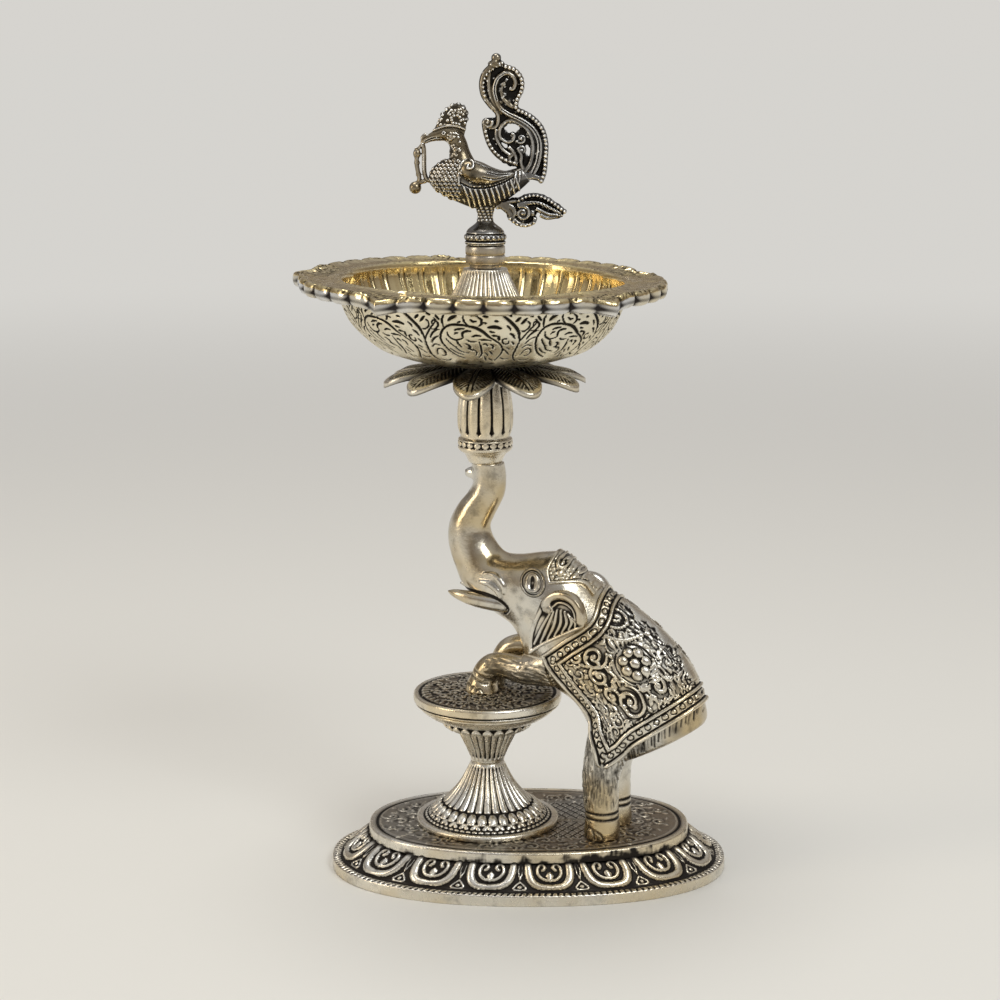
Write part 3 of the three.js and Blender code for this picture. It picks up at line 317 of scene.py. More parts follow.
def skin(name, grid, height=None, loop_rows=False, recess_gain=3.0, blur=4, shade_and_grime=None):
    """A closed body from rows of points in mm that go round. Height lifts it along its normals.
    Rows join too when loop_rows is set, else both ends close with a fan. Low places get oxide.
    The last argument adds darkness: painted shade and painted reflection on some pieces, oxide and stains on
    others."""
    rows, columns, _ = grid.shape
    across = np.roll(grid, -1, 1) - np.roll(grid, 1, 1)
    along = np.roll(grid, -1, 0) - np.roll(grid, 1, 0) if loop_rows else np.gradient(grid, axis=0)
    normal = np.cross(across, along)
    normal /= np.maximum(np.linalg.norm(normal, axis=2, keepdims=True), 1e-9)
    middle = grid.reshape(-1, 3).mean(0)
    cell = np.cross(across, along)
    flip = (cell * (grid - middle)).sum() < 0
    if flip:
        normal = -normal
    oxide_and_shade = np.zeros((rows, columns))
    if height is not None:
        grid = grid + normal * height[:, :, None]
        oxide_and_shade = sunk(height, RING if loop_rows else TUBE, recess_gain, blur)
    if shade_and_grime is not None:
        oxide_and_shade = np.clip(oxide_and_shade + shade_and_grime, 0, 1)
    points = grid.reshape(-1, 3)
    r, c = np.meshgrid(np.arange(rows if loop_rows else rows - 1), np.arange(columns), indexing="ij")
    r, c = r.ravel(), c.ravel()
    up, right = (r + 1) % rows, (c + 1) % columns
    quads = np.stack([r * columns + c, r * columns + right, up * columns + right, up * columns + c], 1)
    uv = np.stack([
        np.stack([c, c + 1, c + 1, c], 1) / columns,
        np.stack([r, r, r + 1, r + 1], 1) / rows,
    ], 2)
    if flip:
        quads, uv = quads[:, ::-1], uv[:, ::-1]
    oxide_and_shade = oxide_and_shade.ravel()
    loops = [quads.ravel()]
    sizes = [np.full(len(quads), 4)]
    maps = [uv.reshape(-1, 2)]
    if not loop_rows:
        for row, turn in ((0, not flip), (rows - 1, flip)):
            centre = len(points)
            points = np.vstack([points, grid[row].mean(0)])
            oxide_and_shade = np.r_[oxide_and_shade, oxide_and_shade[row * columns:(row + 1) * columns].mean()]
            k = np.arange(columns)
            a, b = row * columns + k, row * columns + (k + 1) % columns
            fan = np.stack([b, a, 0 * k + centre] if turn else [a, b, 0 * k + centre], 1)
            loops.append(fan.ravel())
            sizes.append(np.full(columns, 3))
            maps.append(np.tile([[0.0, row / rows], [0.001, row / rows], [0.0, row / rows]], (columns, 1)))
    return mesh_piece(name, points, np.concatenate(loops), np.concatenate(sizes), oxide_and_shade, np.vstack(maps))


def mesh_piece(name, points, loops, sizes, oxide_and_shade, uv=None):
    """A Blender object from points in mm, face corners and each face's number of corners."""
    mesh = bpy.data.meshes.new(name)
    mesh.vertices.add(len(points))
    mesh.vertices.foreach_set("co", (np.asarray(points) * MM).astype(np.float32).ravel())
    mesh.loops.add(len(loops))
    mesh.loops.foreach_set("vertex_index", loops.astype(np.int32))
    mesh.polygons.add(len(sizes))
    mesh.polygons.foreach_set("loop_start", np.r_[0, np.cumsum(sizes)[:-1]].astype(np.int32))
    mesh.polygons.foreach_set("use_smooth", np.ones(len(sizes), bool))
    mesh.update(calc_edges=True)
    shade = mesh.attributes.new("oxide_and_shade", "FLOAT", "POINT")
    shade.data.foreach_set("value", np.asarray(oxide_and_shade, np.float32))
    if uv is not None:
        layer = mesh.uv_layers.new(name="OFBake")
        layer.uv.foreach_set("vector", uv.astype(np.float32).ravel())
    mesh.validate()
    piece = bpy.data.objects.new(name, mesh)
    scene.collection.objects.link(piece)
    return piece


PIT_DEPTH = 0.05


def plated_metal(name, bright, warm, oxide, shine, grain, patina=0.35, worn=None, creased=(0.485, 0.43)):
    """Plated casting: bright metal that warms in broad patches, with oxide in low places and pits.
    On some pieces the same darkness also holds painted shade and painted reflection.
    Worn is the colour that rubbed edges show."""
    material = bpy.data.materials.new(name)
    material.use_nodes = True
    nodes, links = material.node_tree.nodes, material.node_tree.links
    shader = nodes["Principled BSDF"]
    shader.inputs["Metallic"].default_value = 1.0
    place = nodes.new("ShaderNodeTexCoord").outputs["Object"]

    def noise(scale, detail, rough=0.55):
        texture = nodes.new("ShaderNodeTexNoise")
        texture.inputs["Scale"].default_value = scale
        texture.inputs["Detail"].default_value = detail
        texture.inputs["Roughness"].default_value = rough
        links.new(place, texture.inputs["Vector"])
        return texture.outputs["Fac"]

    def ramp(value, low, high, start=0.0, end=1.0):
        mapped = nodes.new("ShaderNodeMapRange")
        mapped.interpolation_type = "SMOOTHSTEP"
        mapped.inputs["From Min"].default_value = low
        mapped.inputs["From Max"].default_value = high
        mapped.inputs["To Min"].default_value = start
        mapped.inputs["To Max"].default_value = end
        links.new(value, mapped.inputs["Value"])
        return mapped.outputs["Result"]

    def sums(kind, a, b):
        node = nodes.new("ShaderNodeMath")
        node.operation = kind
        for socket, value in zip(node.inputs, (a, b)):
            if isinstance(value, float):
                socket.default_value = value
            else:
                links.new(value, socket)
        return node.outputs[0]

    def mixed(share, a, b):
        node = nodes.new("ShaderNodeMix")
        node.data_type = "RGBA"
        links.new(share, node.inputs["Factor"])
        for socket, value in zip((node.inputs[6], node.inputs[7]), (a, b)):
            if isinstance(value, tuple):
                socket.default_value = (*value, 1)
            else:
                links.new(value, socket)
        return node.outputs[2]

    # Oxide, and on some pieces painted shade and painted reflection, read from the mesh.
    oxide_and_shade = nodes.new("ShaderNodeAttribute")
    oxide_and_shade.attribute_name = "oxide_and_shade"
    oxide_and_shade_share = ramp(oxide_and_shade.outputs["Fac"], 0.06, 0.55)
    points = nodes.new("ShaderNodeNewGeometry").outputs["Pointiness"]
    creases = ramp(points, *creased)
    blotches = ramp(noise(230, 6, 0.62), 0.5, 0.72, 0.0, patina)
    specks = ramp(noise(1500, 4, 0.7), 0.66, 0.78, 0.0, patina)
    dark = sums("MAXIMUM", sums("MAXIMUM", oxide_and_shade_share, sums("MULTIPLY", creases, 0.8)),
                sums("MAXIMUM", blotches, specks))
    tone = mixed(ramp(noise(38, 3), 0.38, 0.64), bright, warm)
    plated = mixed(dark, tone, oxide)
    if worn:
        plated = mixed(ramp(points, 0.51, 0.55), plated, worn)
    links.new(plated, shader.inputs["Base Color"])
    rubbed = ramp(noise(420, 5), 0.35, 0.7, shine, shine + 0.16)
    links.new(sums("ADD", rubbed, sums("MULTIPLY", dark, 0.32)), shader.inputs["Roughness"])
    bump = nodes.new("ShaderNodeBump")
    bump.inputs["Strength"].default_value = grain * 0.6
    bump.inputs["Distance"].default_value = 0.0004
    rough_skin = sums("ADD", sums("MULTIPLY", noise(900, 5, 0.65), 1.0), sums("MULTIPLY", noise(180, 3), 0.8))
    links.new(sums("SUBTRACT", rough_skin, sums("MULTIPLY", specks, PIT_DEPTH)), bump.inputs["Height"])
    links.new(bump.outputs["Normal"], shader.inputs["Normal"])
    return material


silver = plated_metal(
    "antique_silver", (0.80, 0.76, 0.67), (0.74, 0.64, 0.46), (0.035, 0.03, 0.026), 0.2, 0.35)
dark_silver = plated_metal(
    "blackened_silver", (0.36, 0.33, 0.28), (0.30, 0.235, 0.16), (0.03, 0.026, 0.022), 0.26, 0.5, 0.6,
    worn=(0.82, 0.76, 0.62), creased=(0.495, 0.45))


def plate_rows(piece, material, chosen, columns):
    """Gives some rows of a skin another metal. Chosen holds one truth value for each row."""
    piece.data.materials.append(material)
    number = np.zeros(len(piece.data.polygons), np.int32)
    piece.data.polygons.foreach_get("material_index", number)
    spread = np.zeros(len(number), bool)
    spread[:len(chosen) * columns] = np.repeat(chosen, columns)[:len(number)]
    number[spread] = len(piece.data.materials) - 1
    piece.data.polygons.foreach_set("material_index", number)


def finish(piece, material, body, slot, *nodes):
    """Gives a piece its metal and its body, and lets it stand for its nodes."""
    piece.data.materials.append(material)
    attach(piece, body)
    if nodes:
        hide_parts(*nodes)
    return piece


skirt_low, skirt_high = node_box("base_skirt")
deck_low, deck_high = node_box("base_deck")
base_centre = (skirt_low + skirt_high)[:2] / 2
half_length, half_depth = (skirt_high - skirt_low)[:2] / 2
deck_half_length, deck_half_depth = (deck_high - deck_low)[:2] / 2
slope_inset = half_length - deck_half_length
skirt_top = skirt_high[2]

skirt_profile = smooth_path([
    (0.1, 0.0), (0.0, 0.5), (0.0, EDGE_HEIGHT - 0.4), (0.35, EDGE_HEIGHT + 0.1), (1.3, EDGE_HEIGHT + 0.3),
    (2.0, EDGE_HEIGHT + 0.1), (2.6, EDGE_HEIGHT + 0.4), (5.4, 5.7), (8.2, 8.0),
    (slope_inset - 0.4, skirt_top - 0.25), (slope_inset + 0.4, skirt_top),
], 0.27)
skirt_along = lengths(skirt_profile)
band_start = skirt_along[np.argmax(skirt_profile[:, 0] > 2.2)]
petal_length = skirt_along[-1] - band_start
petal_pitch = BASE_GIRTH / PETALS_ROUND_BASE
skirt_relief = Relief(BASE_GIRTH, skirt_along[-1], 0.16, True)
for k in range(PETALS_ROUND_BASE):
    middle = (k + FIRST_PETAL) * petal_pitch
    side = petal_pitch / 2

    def on_petal(points, hand=1):
        return [(middle + hand * x, band_start + y * petal_length / 8.6) for x, y in points]

    for hand in (1, -1):
        for width, rise, points in (
                (2.5, 0.95, [(0, 1.2), (3.6, 1.9), (5.6, 4.2), (6.3, 8.6)]),
                (1.15, 0.8, [(0, 3.2), (1.9, 3.7), (3.3, 5.2), (3.3, 7.0), (2.1, 8.0), (1.2, 7.1),
                             (1.9, 6.2)]),
                (0.5, 0.5, [(side, 0.5), (side - 1.7, 1.1), (side, 3.0)]),
                (0.5, 0.5, [(side, 3.6), (side - 0.6, 6.0), (side - 0.2, 8.6)])):
            skirt_relief.curve(on_petal(points, hand), width, rise)
    skirt_relief.leaf(*on_petal([(0, 3.3)])[0], 3.0, 2.1, math.pi / 2, 0.75)
    skirt_relief.dome(*on_petal([(side, 1.5)])[0], 0.6, 0.5)
notches = round(skirt_relief.columns * skirt_relief.pitch / CORD_NOTCH_PITCH)
cord_low = skirt_along[np.argmax(skirt_profile[:, 1] > EDGE_HEIGHT - 0.05)]
for k in range(notches):
    x = (k + 0.5) * skirt_relief.columns * skirt_relief.pitch / notches
    skirt_relief.line([(x - 0.15, cord_low), (x + 0.2, band_start - 0.4)], 0.5, -0.5)
skirt_relief.line([(0, band_start), (BASE_GIRTH, band_start)], 0.7, -0.35)

shares = np.arange(SKIRT_COLUMNS) / SKIRT_COLUMNS


def oval_rows(profile, from_length, from_depth, in_depth=lambda inset: inset):
    """Rows of an oval ring from insets and levels. Shares stay lined up from row to row.
    In_depth gives the inset across the oval for one along it."""
    rows = []
    for inset, level in profile:
        edge = oval(from_length - inset, from_depth - in_depth(inset), shares)
        rows.append(np.c_[edge + base_centre, np.full(len(edge), level)])
    return np.array(rows)


under_profile = [
    (slope_inset + 4.2, skirt_top), (slope_inset + 4.2, skirt_top - 1.8), (slope_inset - 1, skirt_top - 1.8),
    (2.6, 2.2), (1.8, 0.6), (1.7, 0.0),
]
RIM_LAND = 2.4
depth_inset = half_depth - deck_half_depth


def steeper(inset):
    """The slope is shorter at the front and back than at the ends."""
    return inset if inset < RIM_LAND else (
        RIM_LAND + (inset - RIM_LAND) * (depth_inset - RIM_LAND) / (slope_inset - RIM_LAND))


skirt_rows = oval_rows(np.vstack([skirt_profile, under_profile]), half_length, half_depth, steeper)
skirt_height = np.zeros(skirt_rows.shape[:2])
count = len(skirt_profile)
skirt_height[:count] = skirt_relief.at(
    shares[None, :] * BASE_GIRTH + 0 * skirt_along[:, None],
    skirt_along[:, None] + 0 * shares[None, :],
)
skirt_height[:count] -= 0.45 * np.clip((skirt_along[:, None] - band_start) / 0.8, 0, 1)
# Painted shade: the top of the slope is darker where the deck's wall stands on it, in the corner between the
# parts.
skirt_corner_shade = np.zeros(skirt_rows.shape[:2])
skirt_corner_shade[:count] = 0.55 * np.clip((skirt_along[:, None] - skirt_along[-1] + 2.2) / 1.6, 0, 1)
skirt = skin("base_skirt_lotus", skirt_rows, skirt_height, True, 3.4, 4, skirt_corner_shade)
finish(skirt, silver, "root", "silver_plate", "base_skirt")


# Oval deck of the base
# A flat oval plate with a short wall, soldered on the skirt. Its top is chased with vines inside a
# border line, with a lattice between the pedestal and the near foot. Painted shade and stains darken the
# wall's foot.
DECK_COLUMNS = 720
DECK_WALL = 1.8
BORDER_INSET = 2.2
LATTICE_PITCH = 2.7


def vines(relief, inside, pitch, seed, width, rise):
    """Covers the part of a patch where inside(x, y) holds with volutes, leaves and seeds."""
    chance = np.random.default_rng(seed)
    high, wide = relief.rows * relief.pitch, relief.columns * relief.pitch
    for j in range(int(high / (pitch * 0.86)) + 2):
        for i in range(int(wide / pitch) + 2):
            x = (i + 0.5 * (j % 2)) * pitch + chance.uniform(-0.12, 0.12) * pitch
            y = j * pitch * 0.86 + chance.uniform(-0.12, 0.12) * pitch
            if not inside(x, y):
                continue
            turn, hand = chance.uniform(0, 2 * math.pi), 1 if (i + j) % 2 else -1
            relief.spiral(x, y, pitch * 0.42, 1.15, turn, hand, width, rise)
            for k in range(4):
                angle = turn + hand * (0.7 + k * 1.45)
                relief.leaf(x + pitch * 0.4 * math.cos(angle), y + pitch * 0.4 * math.sin(angle),
                            pitch * 0.36, pitch * 0.2, angle - hand * 0.9, rise * 0.9)
            relief.dome(x, y, pitch * 0.1, rise)


deck_level = deck_high[2]
deck_relief = Relief(2 * deck_half_length, 2 * deck_half_depth, 0.16)
deck_middle = np.array([deck_half_length, deck_half_depth])
stool_on_deck = pedestal_axis - base_centre + deck_middle


def deck_edge_share(x, y):
    return (abs((x - deck_middle[0]) / (deck_half_length - BORDER_INSET)) ** OVAL_POWER
            + abs((y - deck_middle[1]) / (deck_half_depth - BORDER_INSET)) ** OVAL_POWER)


lattice_left = stool_on_deck[0] + 17
lattice_right = stool_on_deck[0] + 30


def in_lattice(x, y):
    return lattice_left < x < lattice_right and abs(y - deck_middle[1]) < 15


vines(deck_relief, lambda x, y: deck_edge_share(x, y) < 0.86 and not in_lattice(x, y), 6.0, 7, 0.7, 0.34)
for hand in (1, -1):
    for k in range(-13, 14):
        across = np.linspace(-12, 12, 121)
        x = (lattice_left + lattice_right) / 2 + k * LATTICE_PITCH + hand * across
        y = deck_middle[1] + across * 1.6
        seen = [in_lattice(a, b) for a, b in zip(x, y)]
        if sum(seen) > 3:
            deck_relief.line(np.stack([x, y], 1)[seen], 0.45, -0.34)
turn = np.linspace(0, 2 * math.pi, 361)
for inset, width, rise in ((0.5, 0.8, 0.2), (BORDER_INSET, 0.7, -0.3), (BORDER_INSET + 1.0, 0.6, 0.2)):
    ring_edge = oval(deck_half_length - inset, deck_half_depth - inset, turn / (2 * math.pi))
    deck_relief.line(ring_edge + deck_middle, width, rise)

deck_wall = smooth_path([
    (DECK_WALL, skirt_top), (0.05, skirt_top), (0.0, skirt_top + 0.3), (0.0, deck_level - 0.6),
    (0.5, deck_level),
], 0.3)
deck_insets = np.r_[np.arange(0.8, deck_half_depth - 2, 0.32), deck_half_depth - 1]
deck_under = [(deck_half_depth - 1, deck_level - DECK_WALL), (DECK_WALL, deck_level - DECK_WALL)]
deck_profile = np.vstack([
    deck_under, deck_wall, np.c_[deck_insets, np.full(len(deck_insets), deck_level)],
])
shares = np.arange(DECK_COLUMNS) / DECK_COLUMNS
deck_rows = oval_rows(deck_profile, deck_half_length, deck_half_depth)
deck_top_rows = len(deck_under) + len(deck_wall)
deck_height = np.zeros(deck_rows.shape[:2])
on_patch = deck_rows[deck_top_rows:, :, :2] - base_centre + deck_middle
deck_height[deck_top_rows:] = deck_relief.at(on_patch[..., 0], on_patch[..., 1]) - 0.25
deck_height[deck_top_rows - 2:deck_top_rows] = -0.02
# Painted shade in the corner at the wall's foot, fading up the wall, made uneven with random stains.
stain_chance = np.random.default_rng(3)
stain_round = np.zeros(DECK_COLUMNS)
for spots, softness, strength in ((24, 5, 0.3), (70, 5, 0.3), (200, 5, 0.12)):
    threefold = np.tile(stain_chance.normal(size=spots), 3)
    spread = np.convolve(threefold, np.hanning(softness), "same")[spots:2 * spots]
    stain_round += strength * np.interp(shares * spots, np.arange(spots + 1), np.r_[spread, spread[0]])
deck_wall_shade_and_stains = np.zeros(deck_rows.shape[:2])
wall_level = np.clip((deck_rows[:, :, 2] - skirt_top) / (deck_level - skirt_top), 0, 1)
blotches = averaged(stain_chance.normal(size=(deck_top_rows - 2, DECK_COLUMNS)), 3, TUBE)
wall_foot_shade_and_stains = stain_round[None] + 0.5 - 1.2 * wall_level[:deck_top_rows - 2]
deck_wall_shade_and_stains[:deck_top_rows - 2] = np.clip(0.6 * wall_foot_shade_and_stains + 0.16 * blotches / blotches.std() + 0.1, 0, 0.9)
deck = skin("base_deck_plate", deck_rows, deck_height, False, 2.4, 3, deck_wall_shade_and_stains)
finish(deck, dark_silver, "root", "oxidised_plate", "base_deck")
deck_row = np.arange(len(deck_rows) - 1)
plate_rows(deck, silver, (deck_row > 1) & (deck_row < deck_top_rows + 2), DECK_COLUMNS)


# Foot of the pedestal
# A cast bell with thirty ribs that rise from a ring of bosses and two rows of fine beads.
# It is plated, with black between the ribs, and stands on the deck under one threaded rod.
ROD_BORE = 2.3
FOOT_RIBS = 30


def turned_rows(profile, columns, axis):
    """Rows of points round an axis from a profile of radii and levels."""
    angle = turns(columns)
    radius = profile[:, 0, None]
    return np.stack([
        axis[0] + radius * np.cos(angle), axis[1] + radius * np.sin(angle),
        profile[:, 1, None] + 0 * angle,
    ], 2)


def turned_skin(name, profile, plain, height, axis, recess_gain, blur):
    """A turned body: the profile with its ornament, then plain rows that close it inside."""
    columns = height.shape[1]
    rows = turned_rows(np.vstack([profile, plain]), columns, axis)
    return skin(name, rows, np.vstack([height, np.zeros((len(plain), columns))]), True, recess_gain, blur)


def along_path(profile):
    return lengths(profile)[:, None]


def beads(angle, along, radius, count, level, length, rise, phase=0.0, width=0.94):
    """Heights of a ring of domes whose middles lie at one level of the profile's length."""
    pitch = 2 * math.pi / count
    share = (angle - phase) / pitch
    aside = (share - np.round(share)) * pitch * radius
    away = (aside / (pitch * radius * width / 2)) ** 2 + ((along - level) / (length / 2)) ** 2
    return rise * np.sqrt(np.clip(1 - away, 0, 1))


def ribs(angle, count, depth, sharp=0.6, phase=0.0):
    """Depths between round ribs, none on a rib's crest."""
    return depth * (np.abs(np.cos(count * (angle - phase) / 2)) ** sharp - 1)


def window(along, start, end, fade):
    """1 between two places of the profile's length, with soft ends."""
    return np.clip((along - start) / fade, 0, 1) * np.clip((end - along) / fade, 0, 1)


foot_low, foot_high = node_box("stool_foot")
foot_radius = (foot_high - foot_low)[0] / 2
waist_level = foot_high[2]
waist_radius = 4.7
foot_profile = smooth_path([
    (foot_radius - 0.2, foot_low[2]), (foot_radius, foot_low[2] + 0.4), (foot_radius, foot_low[2] + 1.2),
    (foot_radius - 0.7, foot_low[2] + 1.75), (foot_radius - 1.5, foot_low[2] + 1.6),
    (foot_radius - 2.1, foot_low[2] + 1.9), (16.2, foot_low[2] + 2.8), (14.0, foot_low[2] + 4.6),
    (11.6, foot_low[2] + 6.7), (9.2, foot_low[2] + 9.3), (7.3, foot_low[2] + 12.0), (5.7, foot_low[2] + 15.0),
    (waist_radius, waist_level - 0.4), (waist_radius - 0.4, waist_level),
], 0.26)
ANGLES = turns(900)
foot_along, foot_r = along_path(foot_profile), foot_profile[:, 0, None]
bead_level = foot_along[np.argmax(foot_profile[:, 0] < 17.5)][0]
boss_level = foot_along[np.argmax(foot_profile[:, 0] < 14.3)][0]
rib_start = boss_level + 1.6
foot_ribbed = window(foot_along, rib_start, foot_along[-1, 0] - 0.9, 0.6)
foot_height = sum([
    beads(ANGLES, foot_along, foot_r, 60, bead_level, 1.1, 0.45),
    beads(ANGLES, foot_along, foot_r, 60, bead_level + 1.15, 1.1, 0.45, math.pi / 60),
    beads(ANGLES, foot_along, foot_r, FOOT_RIBS, boss_level, 4.2, 1.0),
    beads(ANGLES, foot_along, foot_r, FOOT_RIBS, boss_level - 1.9, 1.5, 0.5, math.pi / FOOT_RIBS),
    ribs(ANGLES, FOOT_RIBS, 0.75, 0.7, math.pi / FOOT_RIBS) * foot_ribbed,
    -0.5 * window(foot_along, bead_level - 1.0, boss_level + 2.4, 0.4),
])
foot_bore = [(ROD_BORE, waist_level), (ROD_BORE, foot_low[2])]
foot_height *= np.clip((foot_along - 0.4) / 0.4, 0, 1)
foot = turned_skin("pedestal_foot", foot_profile, foot_bore, foot_height, pedestal_axis, 3.6, 3)
finish(foot, silver, "root", "silver_plate", "stool_foot")


# Cup of the pedestal
# The same bell turned over: ribs, a ring of square beads, and a smooth dish that carries the disc.
CUP_RIBS = 24
cup_low, cup_high = node_box("stool_cup")
cup_radius = (cup_high - cup_low)[0] / 2
cup_height_mm = cup_high[2] - waist_level


def cup_at(share):
    return waist_level + cup_height_mm * share


cup_profile = smooth_path([
    (waist_radius - 0.4, waist_level), (waist_radius, cup_at(0.02)), (waist_radius + 0.1, cup_at(0.06)),
    (6.1, cup_at(0.25)), (7.7, cup_at(0.45)), (8.9, cup_at(0.59)), (10.4, cup_at(0.61)), (11.6, cup_at(0.63)),
    (12.4, cup_at(0.68)), (12.4, cup_at(0.735)), (13.3, cup_at(0.765)), (15.4, cup_at(0.81)),
    (17.3, cup_at(0.88)), (cup_radius - 0.2, cup_at(0.95)), (cup_radius, cup_at(0.985)),
    (cup_radius - 0.5, cup_high[2]),
], 0.26)
cup_along, cup_r = along_path(cup_profile), cup_profile[:, 0, None]
square_level = cup_along[np.argmax(cup_profile[:, 0] > 11.8)][0] + 0.3
cup_height = sum([
    ribs(ANGLES, CUP_RIBS, 0.8, 0.7) * window(cup_along, 1.4, square_level - 2.2, 0.7),
    np.minimum(beads(ANGLES, cup_along, cup_r, CUP_RIBS, square_level, 2.9, 1.0, 0, 0.9), 0.62),
    -0.45 * window(cup_along, square_level - 1.8, square_level + 1.5, 0.3),
])
cup_bore = [(ROD_BORE, cup_high[2]), (ROD_BORE, waist_level)]
cup = turned_skin("pedestal_cup", cup_profile, cup_bore, cup_height, pedestal_axis, 4.0, 3)
finish(cup, silver, "root", "silver_plate", "stool_cup")


# Disc of the pedestal
# A flat disc with a two band rim. Its top is chased all over and blackened.
DISC_COLUMNS = 600
disc_low, disc_high = node_box("stool_top")
disc_radius = (disc_high - disc_low)[0] / 2
disc_relief = Relief(2 * disc_radius, 2 * disc_radius, 0.14)


def in_wreath(x, y):
    return math.hypot(x - disc_radius, y - disc_radius) < disc_radius - 5.0


vines(disc_relief, in_wreath, 4.4, 11, 0.65, 0.45)
leaf_ring = disc_radius - 2.0
for angle in turns(48):
    root = disc_radius + leaf_ring * math.cos(angle), disc_radius + leaf_ring * math.sin(angle)
    disc_relief.leaf(*root, 2.6, 1.1, angle + math.pi + 0.35, 0.5)
for radius, width, rise in ((disc_radius - 0.7, 0.9, 0.16), (disc_radius - 1.7, 0.5, -0.3),
                            (disc_radius - 2.6, 0.5, 0.2)):
    disc_relief.ring(disc_radius, disc_radius, radius, width, rise)
disc_edge = smooth_path([
    (cup_radius - 0.3, disc_low[2]), (disc_radius - 0.7, disc_low[2] + 0.35),
    (disc_radius - 0.5, disc_low[2] + 0.75), (disc_radius - 0.95, disc_low[2] + 1.05),
    (disc_radius - 0.2, disc_low[2] + 1.3), (disc_radius, disc_low[2] + 1.7),
    (disc_radius, disc_high[2] - 0.6), (disc_radius - 0.5, disc_high[2]),
], 0.2)
disc_inner = np.arange(disc_radius - 0.8, 0.5, -0.28)
disc_profile = np.vstack([
    [(ROD_BORE, disc_low[2])], disc_edge, np.c_[disc_inner, np.full(len(disc_inner), disc_high[2])],
])
disc_rows = turned_rows(disc_profile, DISC_COLUMNS, pedestal_axis)
disc_height = np.zeros(disc_rows.shape[:2])
first_flat = 1 + len(disc_edge)
on_disc = disc_rows[first_flat:, :, :2] - pedestal_axis + disc_radius
disc_height[first_flat:] = disc_relief.at(on_disc[..., 0], on_disc[..., 1]) - 0.26
disc_grime = np.zeros(disc_rows.shape[:2])
disc_grime[:first_flat] = 1.1 * np.exp(-((disc_rows[:first_flat, :, 2] - disc_low[2] - 1.05) / 0.2) ** 2)
disc = skin("pedestal_disc", disc_rows, disc_height, False, 3.0, 3, disc_grime)
finish(disc, dark_silver, "root", "oxidised_plate", "stool_top")
plate_rows(disc, silver, np.arange(len(disc_rows) - 1) < first_flat + 3, DISC_COLUMNS)


# Rod, nut, screws, washers and stud
# Plain steel fasteners under the deck and inside the stack. They keep their turned shape.
steel = plated_metal("fastener_steel", (0.5, 0.5, 0.5), (0.46, 0.45, 0.43), (0.12, 0.1, 0.09), 0.34, 0.2, 0.3)
for node in ("stool_rod", "stool_rod_washer", "stool_rod_nut", "elephant_screw_near", "elephant_screw_far",
             "elephant_washer_near", "elephant_washer_far", "bowl_stud"):
    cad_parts[node].data.materials.clear()
    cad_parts[node].data.materials.append(steel)


# Stem cup on the trunk's end
# A flared cone, a band with a ring of small beads, and a twelve ribbed bulb under the petals.
STEM_RIBS = 12
stem_low, stem_high = node_box("stem_cup")
stem_height_mm = stem_high[2] - stem_low[2]
STUD_BORE = 2.3


def stem_at(share):
    return stem_low[2] + stem_height_mm * share


stem_profile = smooth_path([
    (4.4, stem_at(0)), (4.7, stem_at(0.02)), (5.6, stem_at(0.1)), (6.9, stem_at(0.145)), (7.4, stem_at(0.17)),
    (7.5, stem_at(0.19)), (7.3, stem_at(0.21)), (7.3, stem_at(0.255)), (7.5, stem_at(0.275)),
    (7.3, stem_at(0.295)), (6.7, stem_at(0.32)), (7.1, stem_at(0.37)), (7.55, stem_at(0.46)),
    (7.6, stem_at(0.6)), (7.3, stem_at(0.76)), (6.7, stem_at(0.9)), (6.2, stem_at(1.0) - 0.1),
    (5.8, stem_at(1.0)),
], 0.22)
STEM_ANGLES = turns(540)
stem_along, stem_r = along_path(stem_profile), stem_profile[:, 0, None]
small_beads = stem_along[np.argmax(stem_profile[:, 1] > stem_at(0.232))][0]
rib_from = stem_along[np.argmax(stem_profile[:, 1] > stem_at(0.33))][0]
stem_height = sum([
    beads(STEM_ANGLES, stem_along, stem_r, 20, small_beads, 1.5, 0.55),
    -0.3 * window(stem_along, small_beads - 0.8, small_beads + 0.8, 0.2),
    ribs(STEM_ANGLES, STEM_RIBS, 1.2, 0.55) * window(stem_along, rib_from, stem_along[-1, 0] - 0.3, 1.2),
])
stem_bore = [(STUD_BORE, stem_at(1)), (STUD_BORE, stem_at(0))]
stem = turned_skin("stem_bulb", stem_profile, stem_bore, stem_height, stem_axis, 3.6, 4)
finish(stem, silver, "root", "silver_plate", "stem_cup")


# Petal collar
# A cast flower of ten drooping leaves with a midrib and side veins, blackened, bright at the tips.
PETALS = 10
PETAL_THICKNESS = 1.3
petal_low, petal_high = node_box("petal_collar")
PETAL_TURN = math.radians(9)
petal_reach = (petal_high - petal_low)[0] / 2 / math.cos(PETAL_TURN)
PETAL_HUB = 7.4
PETAL_DROOP = 3.6
PETAL_TIP_CURL = 1.7
PETAL_COLUMNS = 720
TIP_ROWS = (51, 59)
petal_angle = turns(PETAL_COLUMNS)
petal_share = (petal_angle - PETAL_TURN) * PETALS / (2 * math.pi)
petal_aside = (petal_share - np.round(petal_share)) * 2
petal_wave = np.cos(petal_aside * math.pi / 2)
petal_edge = petal_reach * (0.52 + 0.48 * np.clip(petal_wave, 0, 1) ** 0.6)


def petal_rows(shares_out, lift):
    """Rows of the flower from hub to edge, drooping and curled down at the tips."""
    radius = PETAL_HUB + (petal_edge[None] - PETAL_HUB) * shares_out[:, None]
    curl = PETAL_TIP_CURL * petal_wave[None] ** 3 * np.clip((shares_out[:, None] - 0.78) / 0.22, 0, 1) ** 1.6
    level = (petal_high[2] - PETAL_THICKNESS + lift - PETAL_DROOP * (radius / petal_reach) ** 2 - curl
             - 0.7 * shares_out[:, None] * (1 - petal_wave[None]))
    return np.stack([
        stem_axis[0] + radius * np.cos(petal_angle), stem_axis[1] + radius * np.sin(petal_angle), level], 2)


